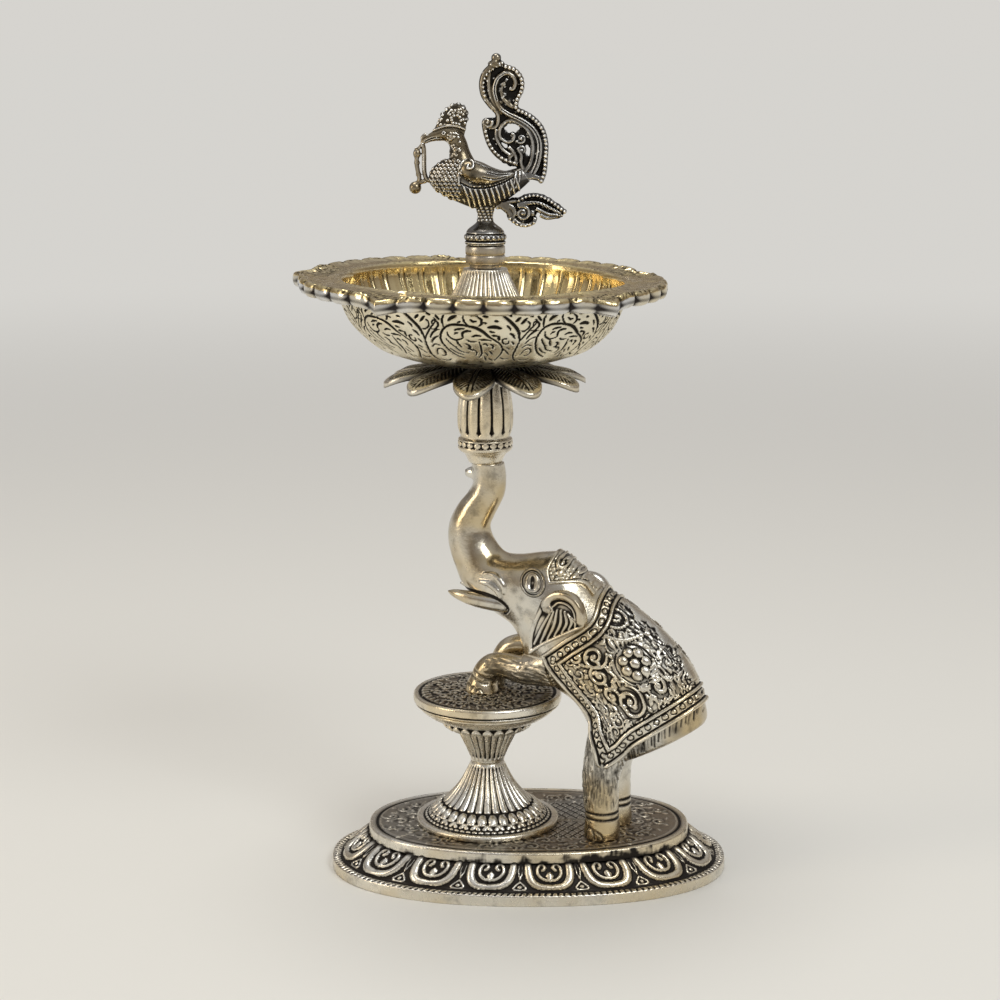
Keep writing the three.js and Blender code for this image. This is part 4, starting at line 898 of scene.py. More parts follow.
petal_out = np.linspace(0, 1, 56)
petal_top = petal_rows(petal_out, PETAL_THICKNESS)
petal_under = petal_rows(petal_out[::-1], 0.0)
petal_length_mm = (petal_edge[None] - PETAL_HUB) * petal_out[:, None]
leaf_aside = petal_aside[None] * (PETAL_HUB + petal_length_mm) * math.pi / PETALS
veins = np.abs(((petal_length_mm - np.abs(leaf_aside) * 1.1) / 1.35) % 1 - 0.5) * 2
vein_height = -0.42 * np.clip(1 - veins * 2.4, 0, 1) * np.clip(np.abs(leaf_aside) / 0.7 - 0.6, 0, 1)
vein_height -= 0.45 * np.clip(1 - np.abs(np.abs(leaf_aside) - 0.62) / 0.34, 0, 1)
rim_share = np.clip((petal_out[:, None] - 0.9) / 0.1, 0, 1)
vein_height = vein_height * (1 - rim_share) * np.clip(petal_out[:, None] * 5, 0, 1) + 0.18 * rim_share
hub_rows = turned_rows(np.array([
    (6.6, petal_high[2] - PETAL_THICKNESS * 1.7), (6.2, petal_low[2]), (STUD_BORE, petal_low[2]),
    (STUD_BORE, petal_high[2] - 0.1)]), PETAL_COLUMNS, stem_axis)
petal_grid = np.concatenate([petal_top, petal_under, hub_rows])
petal_height = np.concatenate([vein_height, vein_height[::-1] * 0.8, np.zeros((4, PETAL_COLUMNS))])
# Painted shade: darker towards the gaps between the petals, and darker on their undersides.
petal_gap_and_underside_shade = 0.6 * np.abs(petal_aside[None]) ** 3 * np.ones((len(petal_grid), 1))
petal_gap_and_underside_shade[len(petal_top):] += 0.3
petals = skin("petal_flower", petal_grid, petal_height, True, 2.6, 2, petal_gap_and_underside_shade)
petal_silver = plated_metal(
    "petal_silver", (0.30, 0.275, 0.235), (0.27, 0.205, 0.12), (0.022, 0.02, 0.018), 0.22, 0.5, 0.7,
    worn=(0.88, 0.86, 0.8), creased=(0.5, 0.46))
finish(petals, petal_silver, "petals", "oxidised_plate", "petal_collar")
petal_row = np.arange(len(petal_grid))
plate_rows(petals, silver, (petal_row > TIP_ROWS[0]) & (petal_row < TIP_ROWS[1]), PETAL_COLUMNS)


# Oil bowl
# Cast with five wick lips. A ring of beads runs round the thick flange, small flutes line the gilt
# inside, and the pale outside carries nine vine medallions with black in their lines.
WICK_LIPS = 5
BOWL_TURN = math.radians(5)
BOWL_COLUMNS = 800
INNER_FLUTES = 40
BOWL_WALL = 2.0
bowl_low, bowl_high = node_box("bowl")
bowl_bottom, bowl_rim = bowl_low[2], bowl_high[2]
bowl_floor = bowl_bottom + BOWL_WALL
bowl_deep = bowl_rim - bowl_bottom
BOWL_BELLY = 38.8
FLANGE_RADIUS = 50.0
LIP_LENGTH = 3.4
# Rows of the flange, counted from the bowl's side: where its beads start, and where it starts to face up.
BEADS_FROM, TOP_FROM = 24, 38

bowl_angle = turns(BOWL_COLUMNS)
lip_pitch = 2 * math.pi / WICK_LIPS
from_lip = (bowl_angle - math.pi / 2 - BOWL_TURN + lip_pitch / 2) % lip_pitch - lip_pitch / 2
lobe_degrees = np.degrees(np.abs(from_lip))
lobe_share = lobe_degrees / 36

scallop = np.zeros(BOWL_COLUMNS)
for middle in (9, 18, 27, 36):
    scallop = np.maximum(scallop, np.sqrt(np.clip(1 - ((lobe_degrees - middle) / 4.35) ** 2, 0, 1)))
lip_point = np.clip(1 - lobe_share / 0.22, 0, 1)
scallop = np.maximum(scallop, np.clip(1 - lobe_degrees / 5.0, 0, 1) ** 0.5)
flange_edge = (FLANGE_RADIUS - 1.2 * (1 - lobe_share) + 1.2 * (scallop - 1) + LIP_LENGTH * lip_point ** 1.3)
flange_edge += 1.1 * np.exp(-((np.degrees(bowl_angle) - 167) / 9) ** 2)
inner_edge = BOWL_BELLY - 2.5 + 2.5 * lobe_share ** 0.7
dip = 1.2 * np.clip(1 - lobe_share / 0.25, 0, 1)


def bowl_at(share):
    return bowl_bottom + bowl_deep * share


def ring_of(radius, level):
    return np.stack([radius + 0 * bowl_angle, level + 0 * bowl_angle], 1)


def between(rings, counts):
    """Rows that run smoothly through the rings, with the given number of steps in each gap."""
    rings = np.asarray(rings)
    ends = np.concatenate([2 * rings[:1] - rings[1:2], rings, 2 * rings[-1:] - rings[-2:-1]])
    rows = []
    for k, count in enumerate(counts):
        a, b, c, d = ends[k:k + 4]
        for t in np.arange(count) / count:
            rows.append(spline(a, b, c, d, t))
    rows.append(rings[-1])
    return np.array(rows)


bead_swell = 0.6 * scallop
outside = between([
    ring_of(13.0, bowl_bottom), ring_of(17.0, bowl_at(0.005)), ring_of(23.4, bowl_at(0.08)),
    ring_of(BOWL_BELLY * 0.75, bowl_at(0.18)), ring_of(BOWL_BELLY * 0.9, bowl_at(0.41)),
    ring_of(BOWL_BELLY * 0.975, bowl_at(0.64)), ring_of(BOWL_BELLY, bowl_at(0.8)),
], (6, 24, 20, 28, 26, 20))
flange = between([
    ring_of(BOWL_BELLY, bowl_at(0.8)),
    ring_of(flange_edge - 7, bowl_at(0.83) - dip * 0.5),
    ring_of(flange_edge - 1.6, bowl_at(0.845) - dip - bead_swell),
    ring_of(flange_edge, bowl_at(0.88) - dip - bead_swell * 0.5),
    ring_of(flange_edge + 0.05, bowl_at(0.955) - dip + bead_swell * 0.3),
    ring_of(flange_edge - 1.0, bowl_rim - 0.3 - dip + bead_swell * 0.6),
    ring_of(flange_edge - 3.6, bowl_rim - 0.75 - dip * 0.8),
    ring_of(inner_edge + 2.6, bowl_rim - 0.75 - dip * 0.3),
    ring_of(inner_edge + 1.0, bowl_rim - 0.35),
    ring_of(inner_edge, bowl_rim - 0.7),
], (14, 14, 5, 6, 4, 8, 12, 5, 4))
inside = between([
    ring_of(inner_edge, bowl_rim - 0.7), ring_of(inner_edge - 0.3, bowl_rim - 1.8),
    ring_of(inner_edge * 0.985, bowl_at(0.8)), ring_of(inner_edge * 0.93, bowl_at(0.6)),
    ring_of(inner_edge * 0.86, bowl_at(0.42)), ring_of(inner_edge * 0.765, bowl_at(0.24)),
    ring_of(21, bowl_floor + 0.2), ring_of(14, bowl_floor), ring_of(STUD_BORE, bowl_floor),
], (4, 7, 9, 8, 8, 7, 5, 4))
bowl_profile = np.concatenate([ring_of(STUD_BORE, bowl_bottom)[None], outside[:-1], flange[:-1], inside])
bowl_out = np.stack([bowl_profile[..., 0] * np.cos(bowl_angle), bowl_profile[..., 0] * np.sin(bowl_angle)], 2)
sway = np.clip((bowl_profile[..., 1] - bowl_bottom - 2.5) / 9, 0, 1) ** 1.5
bowl_grid = np.stack([
    stem_axis[0] + bowl_out[..., 0] - 0.8 * sway, stem_axis[1] + bowl_out[..., 1],
    bowl_profile[..., 1] + sway * (1.1 * bowl_out[..., 1] - 0.8 * bowl_out[..., 0]) / FLANGE_RADIUS,
], 2)

vine_width = 2 * math.pi * BOWL_BELLY
outside_along = lengths(outside[:, 0])
vine_high = outside_along[-1]
medallions = Relief(vine_width, vine_high, 0.11, True)
MEDALLIONS = 9
# A medallion's scrolls are drawn in units of its own, from its left end and its top edge.
MEDALLION_CENTRE = 51
MEDALLION_UNIT = 0.2165
seen_drop = (outside[-1, 0, 1] - outside[:, 0, 1]) * 0.98 - 0.2 * (BOWL_BELLY - outside[:, 0, 0])
scrolls = (
    (0.6, [(34, 57), (24, 54), (16, 49), (11.5, 42), (10.5, 36), (13, 28), (19, 21.5), (28, 18), (38, 17.8),
           (48, 19),
           (58, 21.5), (66, 25.5), (74, 31), (82, 36), (88, 41), (90.5, 47), (88, 53), (80, 59)]),
    (0.85, [(48, 18.8), (58, 21.2), (66, 25.2), (76, 32.5)]),
    (0.85, [(89, 6), (96, 11), (103, 17), (109, 23), (112, 29), (113, 36)]),
    (0.55, [(113, 36), (110, 45), (108, 52), (109, 57), (114, 60)]),
    (0.5, [(113, 37), (118, 31), (125, 23), (131, 17), (133, 13), (130, 11)]),
    (0.5, [(120, 13), (123.5, 16), (123, 21), (118, 24.5), (114, 24.5)]),
    (0.7, [(106, 13), (111, 9)]), (0.7, [(113, 16), (119, 10)]),
    (0.55, [(122, 34), (126, 29), (131, 25.5), (136, 24)]),
    (0.45, [(121, 40), (125, 36), (130, 33), (134, 31.5)]), (0.5, [(43, 6), (42, 10), (44, 15), (48, 18)]),
    (0.65, [(60, 9), (63.5, 11), (64, 16), (61, 19)]), (0.5, [(52, 7), (56, 6), (60, 8)]),
    (0.6, [(66, 7), (72, 8)]), (0.5, [(66, 14.5), (70, 15.5)]),
    (0.5, [(20.5, 26), (22.5, 31), (27, 34.5), (31, 35.5), (36, 34.5), (41, 32.5)]),
    (0.55, [(31, 35.5), (32, 40), (35, 44)]), (0.65, [(41, 32), (40, 28), (44, 25), (51, 24.5)]),
    (0.55, [(31, 24), (36, 22.5), (43, 22)]), (0.4, [(30, 29), (32, 27), (35, 27)]),
    (0.55, [(52, 31), (57, 29.5), (63, 30)]), (0.5, [(45, 35), (49, 37), (56, 37)]),
    (0.55, [(61, 34.5), (68, 34.5), (76, 35.5)]),
    (0.55, [(60, 37), (61, 43), (61.5, 49), (60, 53), (56, 56)]),
    (0.65, [(42, 40), (46, 42), (46, 46), (43, 46)]), (0.55, [(44, 45), (49, 48)]),
    (0.4, [(18, 34), (20, 38), (25, 43), (29, 44)]), (0.55, [(65, 41), (68, 39.5), (70, 42)]),
    (0.55, [(74, 40), (77.5, 42), (77, 46)]),
    (0.5, [(96, 33), (91, 34), (90.5, 38), (94, 40), (98, 39), (98.5, 36)]),
    (0.55, [(100, 27), (104, 29), (106.5, 32.5)]), (0.5, [(103, 37), (106, 41)]),
    (0.85, [(72, 20), (80, 19.5), (88, 21)]), (0.55, [(77, 29), (84, 30)]), (0.75, [(86, 30), (86, 35)]),
    (0.55, [(80, 12.5), (84, 13)]), (0.85, [(24, 13), (28, 10), (34, 7.5)]), (0.5, [(39, 14), (35, 15.5)]),
    (0.6, [(17, 20), (16.5, 12), (19, 7)]),
    (0.55, [(1, 24), (6, 24), (11, 19), (9, 15), (5, 14), (3, 17), (5, 20)]), (0.65, [(13, 13), (8, 8)]),
    (0.4, [(18, 46), (26, 51), (34, 53)]), (0.4, [(24, 42), (32, 49), (42, 51)]),
    (0.4, [(50, 46), (54, 50), (52, 54)]), (0.4, [(66, 50), (70, 54)]), (0.4, [(72, 48), (77, 53)]),
    (0.4, [(92, 46), (97, 50), (101, 53)]), (0.45, [(88, 56), (95, 58), (101, 57)]),
    (0.4, [(96, 44), (101, 47)]), (0.4, [(64, 54), (66, 59)]), (0.4, [(70, 57), (76, 59)]),
    (0.45, [(118, 45), (124, 42), (131, 43)]),
    (0.4, [(118, 54), (123, 48), (130, 47), (133, 51), (129, 55), (124, 54)]),
    (0.4, [(119, 59), (128, 60), (136, 58)]), (0.6, [(78, 5), (84, 4.5)]), (0.6, [(96, 4.5), (100, 7)]),
    (0.5, [(122, 6), (127, 8)]), (0.5, [(28, 3.5), (36, 4)]), (0.5, [(50, 11), (54, 13.5), (58, 13)]),
    (0.5, [(95, 18), (99, 21), (100, 23.5)]), (0.45, [(74, 24.5), (80, 26)]),
)
for k in range(MEDALLIONS):
    middle = math.radians(265.6 + 360 / MEDALLIONS * k) * BOWL_BELLY
    for width, points in scrolls:
        across, down = np.array(points, float).T
        along = np.interp((down - 3) * MEDALLION_UNIT, seen_drop[::-1], outside_along[::-1])
        across = middle + (across - MEDALLION_CENTRE) * MEDALLION_UNIT
        medallions.curve(np.stack([across, along], 1), width * 1.3, -0.36, 0.5)
for level, width in ((vine_high - 0.3, 0.6), (5.0, 0.45)):
    medallions.line([(0, level), (vine_width, level)], width, -0.3)

bowl_height = np.zeros(bowl_grid.shape[:2])
rows_out = len(outside) - 1
bowl_height[1:1 + rows_out] = medallions.at(
    bowl_angle[None] * BOWL_BELLY + 0 * outside_along[:-1, None],
    outside_along[:-1, None] + 0 * bowl_angle[None])
flange_start = 1 + rows_out
inside_start = flange_start + len(flange) - 1
flange_r, flange_turn = bowl_profile[flange_start:inside_start, :, 0], bowl_angle[None]
top_half = (np.arange(inside_start - flange_start) > TOP_FROM)[:, None]
lip_swirl = np.sin(flange_r * 2.6 + 3.0 * np.sin(flange_turn * 60))
lip_chasing = 0.22 * lip_swirl * np.sin(flange_turn * 110 + flange_r)
lip_zone = np.clip(1.5 - lobe_degrees / 12, 0, 1)[None] * window(flange_r, 41, 49.5, 1.0)
grains = averaged(np.random.default_rng(17).normal(size=lip_chasing.shape), 1, TUBE)
bowl_height[flange_start:inside_start] = (lip_chasing * lip_zone + 0.035 * grains / grains.std()) * top_half
flute_share = ((bowl_angle - BOWL_TURN - math.pi / 2) * INNER_FLUTES / (2 * math.pi)) % 1 - 0.5
flutes = 0.5 * np.exp(-(flute_share / 0.07) ** 2) - 0.3 * (1 - (2 * flute_share) ** 2)
inside_level = bowl_profile[inside_start:, :, 1]
bowl_height[inside_start:] = flutes[None] * window(inside_level, bowl_floor + 0.6, bowl_rim - 1.9, 1.6)
# The bead band is painted darker between the beads.
bowl_painted_dark_and_oxide = np.zeros(bowl_grid.shape[:2])
flange_row = np.arange(len(bowl_grid)) - flange_start
bowl_painted_dark_and_oxide[(flange_row > BEADS_FROM - 2) & (flange_row < TOP_FROM + 6)] = 0.7 * (1 - scallop) ** 1.4
# Painted reflection: two dark bands along the beads, over their lower half and along their upper edge.
for centre, spread, depth in ((26.0, 2.6, 0.4), (34.5, 1.6, 0.35)):
    line = depth * np.exp(-((flange_row[flange_start:] - centre) / spread) ** 2)
    bowl_painted_dark_and_oxide[flange_start:] += line[:, None]
# Inside the bowl the oxide is lessened.
bowl_painted_dark_and_oxide[len(bowl_grid) - len(inside):] = -0.55
bowl = skin("oil_bowl", bowl_grid, bowl_height, True, 4.0, 3, bowl_painted_dark_and_oxide)
champagne = plated_metal(
    "champagne_plate", (0.80, 0.75, 0.61), (0.76, 0.68, 0.49), (0.03, 0.026, 0.02), 0.24, 0.25, 0.15)
gilt = plated_metal("gilt_inside", (0.86, 0.69, 0.35), (0.76, 0.63, 0.38), (0.08, 0.06, 0.03), 0.12, 0.2, 0.2)
polished_silver = plated_metal(
    "polished_beads", (0.72, 0.73, 0.75), (0.70, 0.62, 0.45), (0.035, 0.03, 0.028), 0.07, 0.12, 0.25)
finish(bowl, champagne, "oil_bowl", "golden_plate", "bowl")
plate_rows(bowl, gilt, flange_row >= TOP_FROM, BOWL_COLUMNS)
plate_rows(bowl, polished_silver, (flange_row > BEADS_FROM) & (flange_row < TOP_FROM), BOWL_COLUMNS)


# Seal on the bowl floor
# A thin black ring that keeps oil out of the stud hole. The cone hides it.
seal_rubber = bpy.data.materials.new("seal_rubber")
seal_rubber.use_nodes = True
seal_shader = seal_rubber.node_tree.nodes["Principled BSDF"]
seal_noise = seal_rubber.node_tree.nodes.new("ShaderNodeTexNoise")
seal_noise.inputs["Scale"].default_value = 900
seal_ramp = seal_rubber.node_tree.nodes.new("ShaderNodeValToRGB")
seal_ramp.color_ramp.elements[0].color = (0.012, 0.012, 0.011, 1)
seal_ramp.color_ramp.elements[1].color = (0.03, 0.03, 0.028, 1)
seal_rubber.node_tree.links.new(seal_noise.outputs["Fac"], seal_ramp.inputs[0])
seal_rubber.node_tree.links.new(seal_ramp.outputs[0], seal_shader.inputs["Base Color"])
seal_shader.inputs["Roughness"].default_value = 0.75
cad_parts["bowl_seal"].data.materials.clear()
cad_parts["bowl_seal"].data.materials.append(seal_rubber)


# Fluted cone
# A cast cone with forty fine grooves covers the stud in the middle of the bowl.
CONE_GROOVES = 40
CONE_WALL = 2.0
cone_low, cone_high = node_box("bowl_cone")
cone_base = (cone_high - cone_low)[0] / 2
CONE_TOP = 5.9
cone_share = np.linspace(0, 1, 64)
cone_radius = CONE_TOP + (cone_base - CONE_TOP) * (1 - cone_share) ** 1.15
cone_outside = np.c_[cone_radius, cone_low[2] + (cone_high[2] - cone_low[2]) * cone_share]
cone_inside = np.array([
    (CONE_TOP - 1.0, cone_high[2]), (STUD_BORE, cone_high[2]), (STUD_BORE, cone_high[2] - 3.2),
    (cone_radius[31] - CONE_WALL, cone_outside[31, 1]), (cone_base - CONE_WALL, cone_low[2]),
])
cone_along = along_path(cone_outside)
cone_grooved = window(cone_along, -1, cone_along[-1, 0] - 0.3, 0.8)
cone_height = ribs(turns(640), CONE_GROOVES, 0.55, 0.55) * cone_grooved
cone = turned_skin("oil_cone", cone_outside, cone_inside, cone_height, stem_axis, 1.3, 3)
finish(cone, silver, "oil_bowl", "golden_plate", "bowl_cone")


# Collar nut
# A plain turned collar over the cone, polished and gone dark, with a groove round its middle.
nut_low, nut_high = node_box("collar_nut")
nut_radius = (nut_high - nut_low)[0] / 2
nut_profile = np.vstack([
    smooth_path([
        (4.2, nut_low[2]), (4.3, nut_low[2] + 0.9), (nut_radius - 0.25, nut_low[2] + 1.05),
        (nut_radius, nut_low[2] + 1.5), (nut_radius, nut_low[2] + 3.2), (nut_radius - 0.35, nut_low[2] + 3.5),
        (nut_radius, nut_low[2] + 3.8), (nut_radius, nut_high[2] - 0.4), (nut_radius - 0.5, nut_high[2]),
    ], 0.2),
    [(STUD_BORE, nut_high[2]), (STUD_BORE, nut_low[2])],
])
nut = skin("neck_nut", turned_rows(nut_profile, 240, stem_axis), loop_rows=True)
rubbed_silver = plated_metal(
    "rubbed_silver", (0.52, 0.48, 0.41), (0.46, 0.37, 0.25), (0.03, 0.026, 0.022), 0.22, 0.3, 0.4)
finish(nut, rubbed_silver, "nut", "oxidised_plate", "collar_nut")


# Elephant
# One casting from the raised trunk to the rump, with smooth skin, hair lines cut in the legs and folds at the
# mouth. It stands on the pedestal with its front feet, and two screws hold its rear feet to the deck.
ELEPHANT_YAW = math.radians(18)
TRUNK_END = 101.5
REAR_FOOT = 35.2
REAR_STANCE = 6.5
# How far from a foot the rays start that find its skin.
CLEAR = 30
disc_rise = disc_high[2] - deck_level
elephant_origin = np.array([pedestal_axis[0], stem_axis[1], deck_level])
BODY_SECTIONS = [
    (-4.4, TRUNK_END, 4.6, TRUNK_END, 4.5), (-3.8, 97.0, 5.2, 97.5, 4.2), (-5.1, 93.5, 4.7, 92.5, 4.5),
    (-8.2, 89.6, 1.9, 86.6, 4.8), (-10.6, 85, 0.7, 83.8, 5.1), (-11.2, 80.7, 1.1, 81.4, 5.5),
    (-10.6, 76.5, 2.6, 78.7, 6), (-9, 72, 5.3, 76.2, 6.7), (-7, 67.4, 9.4, 76.1, 7.6),
    (-3, 63.2, 13.2, 76.8, 8.6), (3, 59.4, 17.1, 77.4, 9.3), (7.5, 56.5, 21, 77.5, 9.7),
    (10, 52.6, 25, 75, 10.2), (11.6, 47.3, 30, 70.6, 11.3), (15.4, 42.8, 37.3, 65.6, 12.4),
    (20.8, 39.6, 45.2, 60.2, 13), (26, 36, 52, 54.2, 13), (29.6, 30.4, 57.4, 47.5, 12.6),
    (32.6, 24.8, 61, 40.6, 11.6), (38, 20.6, 62.4, 35.2, 10), (43, 22, 61.8, 32.8, 7.5),
]


def from_elephant(points):
    """Frame places, in mm, of points given along the elephant, across it and above the deck."""
    u, v, w = np.moveaxis(np.asarray(points, float), -1, 0)
    c, s = math.cos(ELEPHANT_YAW), math.sin(ELEPHANT_YAW)
    return np.stack([u * c + v * s, v * c - u * s, w], -1) + elephant_origin


def between_rows(table, places):
    """Rows of a table between its own rows, on smooth curves."""
    table = np.asarray(table, float)
    ends = np.vstack([2 * table[0] - table[1], table, 2 * table[-1] - table[-2]])
    k = np.clip(np.floor(places).astype(int), 0, len(table) - 2)
    t = (places - k)[..., None]
    return spline(ends[k], ends[k + 1], ends[k + 2], ends[k + 3], t)


def section_rows(table, places, angles, proud=0.0):
    """Points of a body given by sections: low and high point in the side view and half width.
    The angle starts at the high point. Proud grows the body by that much."""
    low_u, low_w, high_u, high_w, half = np.moveaxis(between_rows(table, places), -1, 0)
    arm_u, arm_w = (high_u - low_u) / 2, (high_w - low_w) / 2
    grown = 1 + proud / np.maximum(np.hypot(arm_u, arm_w), 0.1)
    lift = np.cos(angles) * grown
    side = np.sin(angles) * (half + proud)
    return np.stack([(low_u + high_u) / 2 + arm_u * lift, side, (low_w + high_w) / 2 + arm_w * lift], -1)


def limb_rows(path, columns=40, step=0.5):
    """Rings round a smooth path. Each path point is a place and a radius."""
    path = smooth_path(path, step)
    along = np.gradient(path[:, :3], axis=0)
    along /= np.linalg.norm(along, axis=1, keepdims=True)
    across = np.cross((0, 1, 0), along)
    across /= np.maximum(np.linalg.norm(across, axis=1, keepdims=True), 1e-9)
    side = np.cross(along, across)
    angle = turns(columns)
    return (path[:, None, :3] + path[:, None, 3:] * (
        across[:, None] * np.cos(angle)[None, :, None] + side[:, None] * np.sin(angle)[None, :, None]))


def ball_rows(middle, radii, columns=24):
    tilt = np.linspace(0.12, math.pi - 0.12, columns // 2)
    angle = turns(columns)
    return np.asarray(middle, float) + np.asarray(radii, float) * np.stack([
        np.sin(tilt)[:, None] * np.cos(angle), np.sin(tilt)[:, None] * np.sin(angle),
        np.cos(tilt)[:, None] + 0 * angle], 2)


# How far to the side rays start that find places seen in the side view.
FAR_OUT = 60


class Casting:
    """Closed bodies joined into one skin with small fillets, for lines and domes to be worked in."""

    def __init__(self, bodies, fineness, rounds, is_held=None):
        points, faces = [], []
        for rows in bodies:
            start, (count, columns, _) = len(points), rows.shape
            points.extend(rows.reshape(-1, 3).tolist())
            r, c = [part.ravel() for part in np.indices((count - 1, columns))]
            here, right = r * columns, (c + 1) % columns
            quads = np.stack([here + c, here + right, here + columns + right, here + columns + c], 1)
            faces.extend((quads + start).tolist())
            faces.append(list(range(start, start + columns)))
            faces.append(list(range(start + (count - 1) * columns, start + count * columns)))
        mesh = bpy.data.meshes.new("joining")
        mesh.from_pydata(points, [], faces)
        holder = bpy.data.objects.new("joining", mesh)
        scene.collection.objects.link(holder)
        remesh = holder.modifiers.new("join", "REMESH")
        remesh.mode, remesh.voxel_size = "VOXEL", fineness
        joined = holder.evaluated_get(bpy.context.evaluated_depsgraph_get()).to_mesh()
        self.points = np.empty(len(joined.vertices) * 3)
        joined.vertices.foreach_get("co", self.points)
        self.points = self.points.reshape(-1, 3)
        self.quads = np.empty(len(joined.polygons) * 4, int)
        joined.loops.foreach_get("vertex_index", self.quads)
        self.quads = self.quads.reshape(-1, 4)
        bpy.data.objects.remove(holder)
        bpy.data.meshes.remove(mesh)
        self.pairs = np.vstack([self.quads[:, (k, (k + 1) % 4)] for k in range(4)])
        self.number = np.maximum(np.bincount(self.pairs[:, 0], minlength=len(self.points)), 1)
        share = np.ones(len(self.points)) if is_held is None else 1.0 - is_held(self.points)
        for _ in range(rounds):
            for pull in (0.6, -0.3):
                self.points += pull * share[:, None] * (self.meaned(self.points) - self.points)
        self.fineness = fineness
        self.height = np.zeros(len(self.points))
        self.shade = np.zeros(len(self.points))
        self.surface = bvhtree.BVHTree.FromPolygons(self.points.tolist(), self.quads.tolist())
        self.tree = kdtree.KDTree(len(self.points))
        for index, place in enumerate(self.points.tolist()):
            self.tree.insert(place, index)
        self.tree.balance()

    def meaned(self, values):
        """The mean of each point's neighbours."""
        columns = [np.bincount(self.pairs[:, 0], column[self.pairs[:, 1]], len(values))
                   for column in values.T]
        return np.stack(columns, 1) / self.number[:, None]

    def seen_from_side(self, points, side, step=0.3):
        """Places on the skin under a line drawn in the side view. Side is -1 for the near side."""
        hits = [self.surface.ray_cast(Vector((u, side * FAR_OUT, w)), Vector((0, -side, 0)))[0]
                for u, w in even_path(points, step)]
        return [hit for hit in hits if hit is not None]

    def towards(self, start, end):
        """The first place on the skin on the way from start to end and on, or none."""
        return self.surface.ray_cast(Vector(start), (Vector(end) - Vector(start)).normalized())[0]

    def hits(self, start, end):
        """The same place in a list, which is empty if there is none."""
        place = self.towards(start, end)
        return [] if place is None else [place]

    def line(self, places, width, rise, taper=0.0, ink=1.0):
        """A stroke through places on the skin, with oxide in it, or beside it if it is raised."""
        merge = max if rise > 0 else min
        for k, place in enumerate(places):
            share = 2 * k / max(len(places) - 1, 1) - 1
            half = max(width / 2 * (1 - taper * share * share), self.fineness * 0.9)
            for _, index, away in self.tree.find_range(place, half * 1.8):
                near = away / half
                if near < 1:
                    self.height[index] = merge(self.height[index], rise * math.sqrt(1 - near * near))
                if rise < 0 or near > 1:
                    self.shade[index] = max(self.shade[index], ink * (1.8 - near) * min(1, abs(rise) * 1.6))

    def stroke(self, points, side, width, rise, taper=0.0, ink=1.0, step=0.3):
        """A straight or broken line drawn in the side view."""
        self.line(self.seen_from_side(points, side, step), width, rise, taper, ink)

    def curve(self, points, side, width, rise, taper=0.0, ink=1.0):
        self.stroke(smooth_path(points, 0.3), side, width, rise, taper, ink)

    def painted_shade_patch(self, u, w, side, radius, strength):
        """A soft patch of painted shade on one side."""
        for place in self.seen_from_side([(u, w), (u + 0.1, w)], side, 0.1)[:1]:
            for _, index, away in self.tree.find_range(place, radius):
                self.shade[index] = max(self.shade[index], strength * (1 - away / radius) ** 1.3)

    def piece(self, name, placed, cleared=0.25):
        """The finished skin in the frame. Raised strokes lose the shade that crosses them."""
        corner = self.points[self.quads]
        facing = np.cross(corner[:, 2] - corner[:, 0], corner[:, 3] - corner[:, 1])
        normal = np.stack([np.bincount(self.quads.ravel(), np.repeat(facing[:, k], 4), len(self.points))
                           for k in range(3)], 1)
        normal /= np.maximum(np.linalg.norm(normal, axis=1, keepdims=True), 1e-9)
        shade = np.clip(self.shade - np.clip(self.height / cleared, 0, 1), 0, 1)
        points = placed(self.points + normal * self.height[:, None])
        sizes = np.full(len(self.quads), 4)
        return mesh_piece(name, points, self.quads.ravel(), sizes, shade)


rear_legs = [limb_rows([
    (41.5, side * 5, 36, 8.3), (38.2, side * 6.1, 29.5, 7.1), (REAR_FOOT + 0.7, side * REAR_STANCE, 23, 5.8),
    (REAR_FOOT - 0.5, side * REAR_STANCE, 17, 5.15), (REAR_FOOT - 0.4, side * REAR_STANCE, 11, 4.95),
    (REAR_FOOT - 0.1, side * REAR_STANCE, 7, 4.7), (REAR_FOOT, side * REAR_STANCE, 4.6, 4.75),
    (REAR_FOOT, side * REAR_STANCE, 2, 4.95), (REAR_FOOT, side * REAR_STANCE, 0, 4.8)]) for side in (-1, 1)]
near_foreleg = limb_rows([
    (20, -5, 47, 6.2), (12.5, -5, 45.0, 4.2), (6.6, -3.9, disc_rise + 7.9, 3.5),
    (2.9, -3.6, disc_rise + 7.5, 3.5), (0.9, -3.5, disc_rise + 5.8, 3.5), (0.0, -3.4, disc_rise + 3.8, 3.6),
    (-0.4, -3.4, disc_rise + 1.9, 4.3), (-0.5, -3.4, disc_rise, 4.8)])
far_foreleg = limb_rows([
    (20, 5, 49.5, 6.2), (13, 5, 48.8, 4.2), (8.0, 4.4, disc_rise + 11.5, 3.5),
    (4.6, 4.2, disc_rise + 10, 3.3), (2.4, 4, disc_rise + 6.5, 2.9), (1.4, 4, disc_rise + 3, 2.8),
    (1.0, 4, disc_rise + 1.4, 2.9), (1.0, 4, disc_rise, 3.0)])
trunk_lip = limb_rows([(-0.5, 0, 97.0, 2.6), (-3.2, 0, 98.1, 2.0), (-5.2, 0, 98.2, 1.5),
                       (-6.4, 0, 98.1, 0.9)])
hull_places = np.linspace(0, len(BODY_SECTIONS) - 1, 260)
hull_rows = section_rows(BODY_SECTIONS, hull_places[:, None], turns(160)[None])


def flat_places(points):
    """1 on the soles and on the trunk's end, which stay flat."""
    on_disc = (points[:, 0] < 10) & (np.abs(points[:, 2] - disc_rise) < 0.5)
    return ((points[:, 2] < 0.6) | (points[:, 2] > TRUNK_END - 0.5) | on_disc).astype(float)


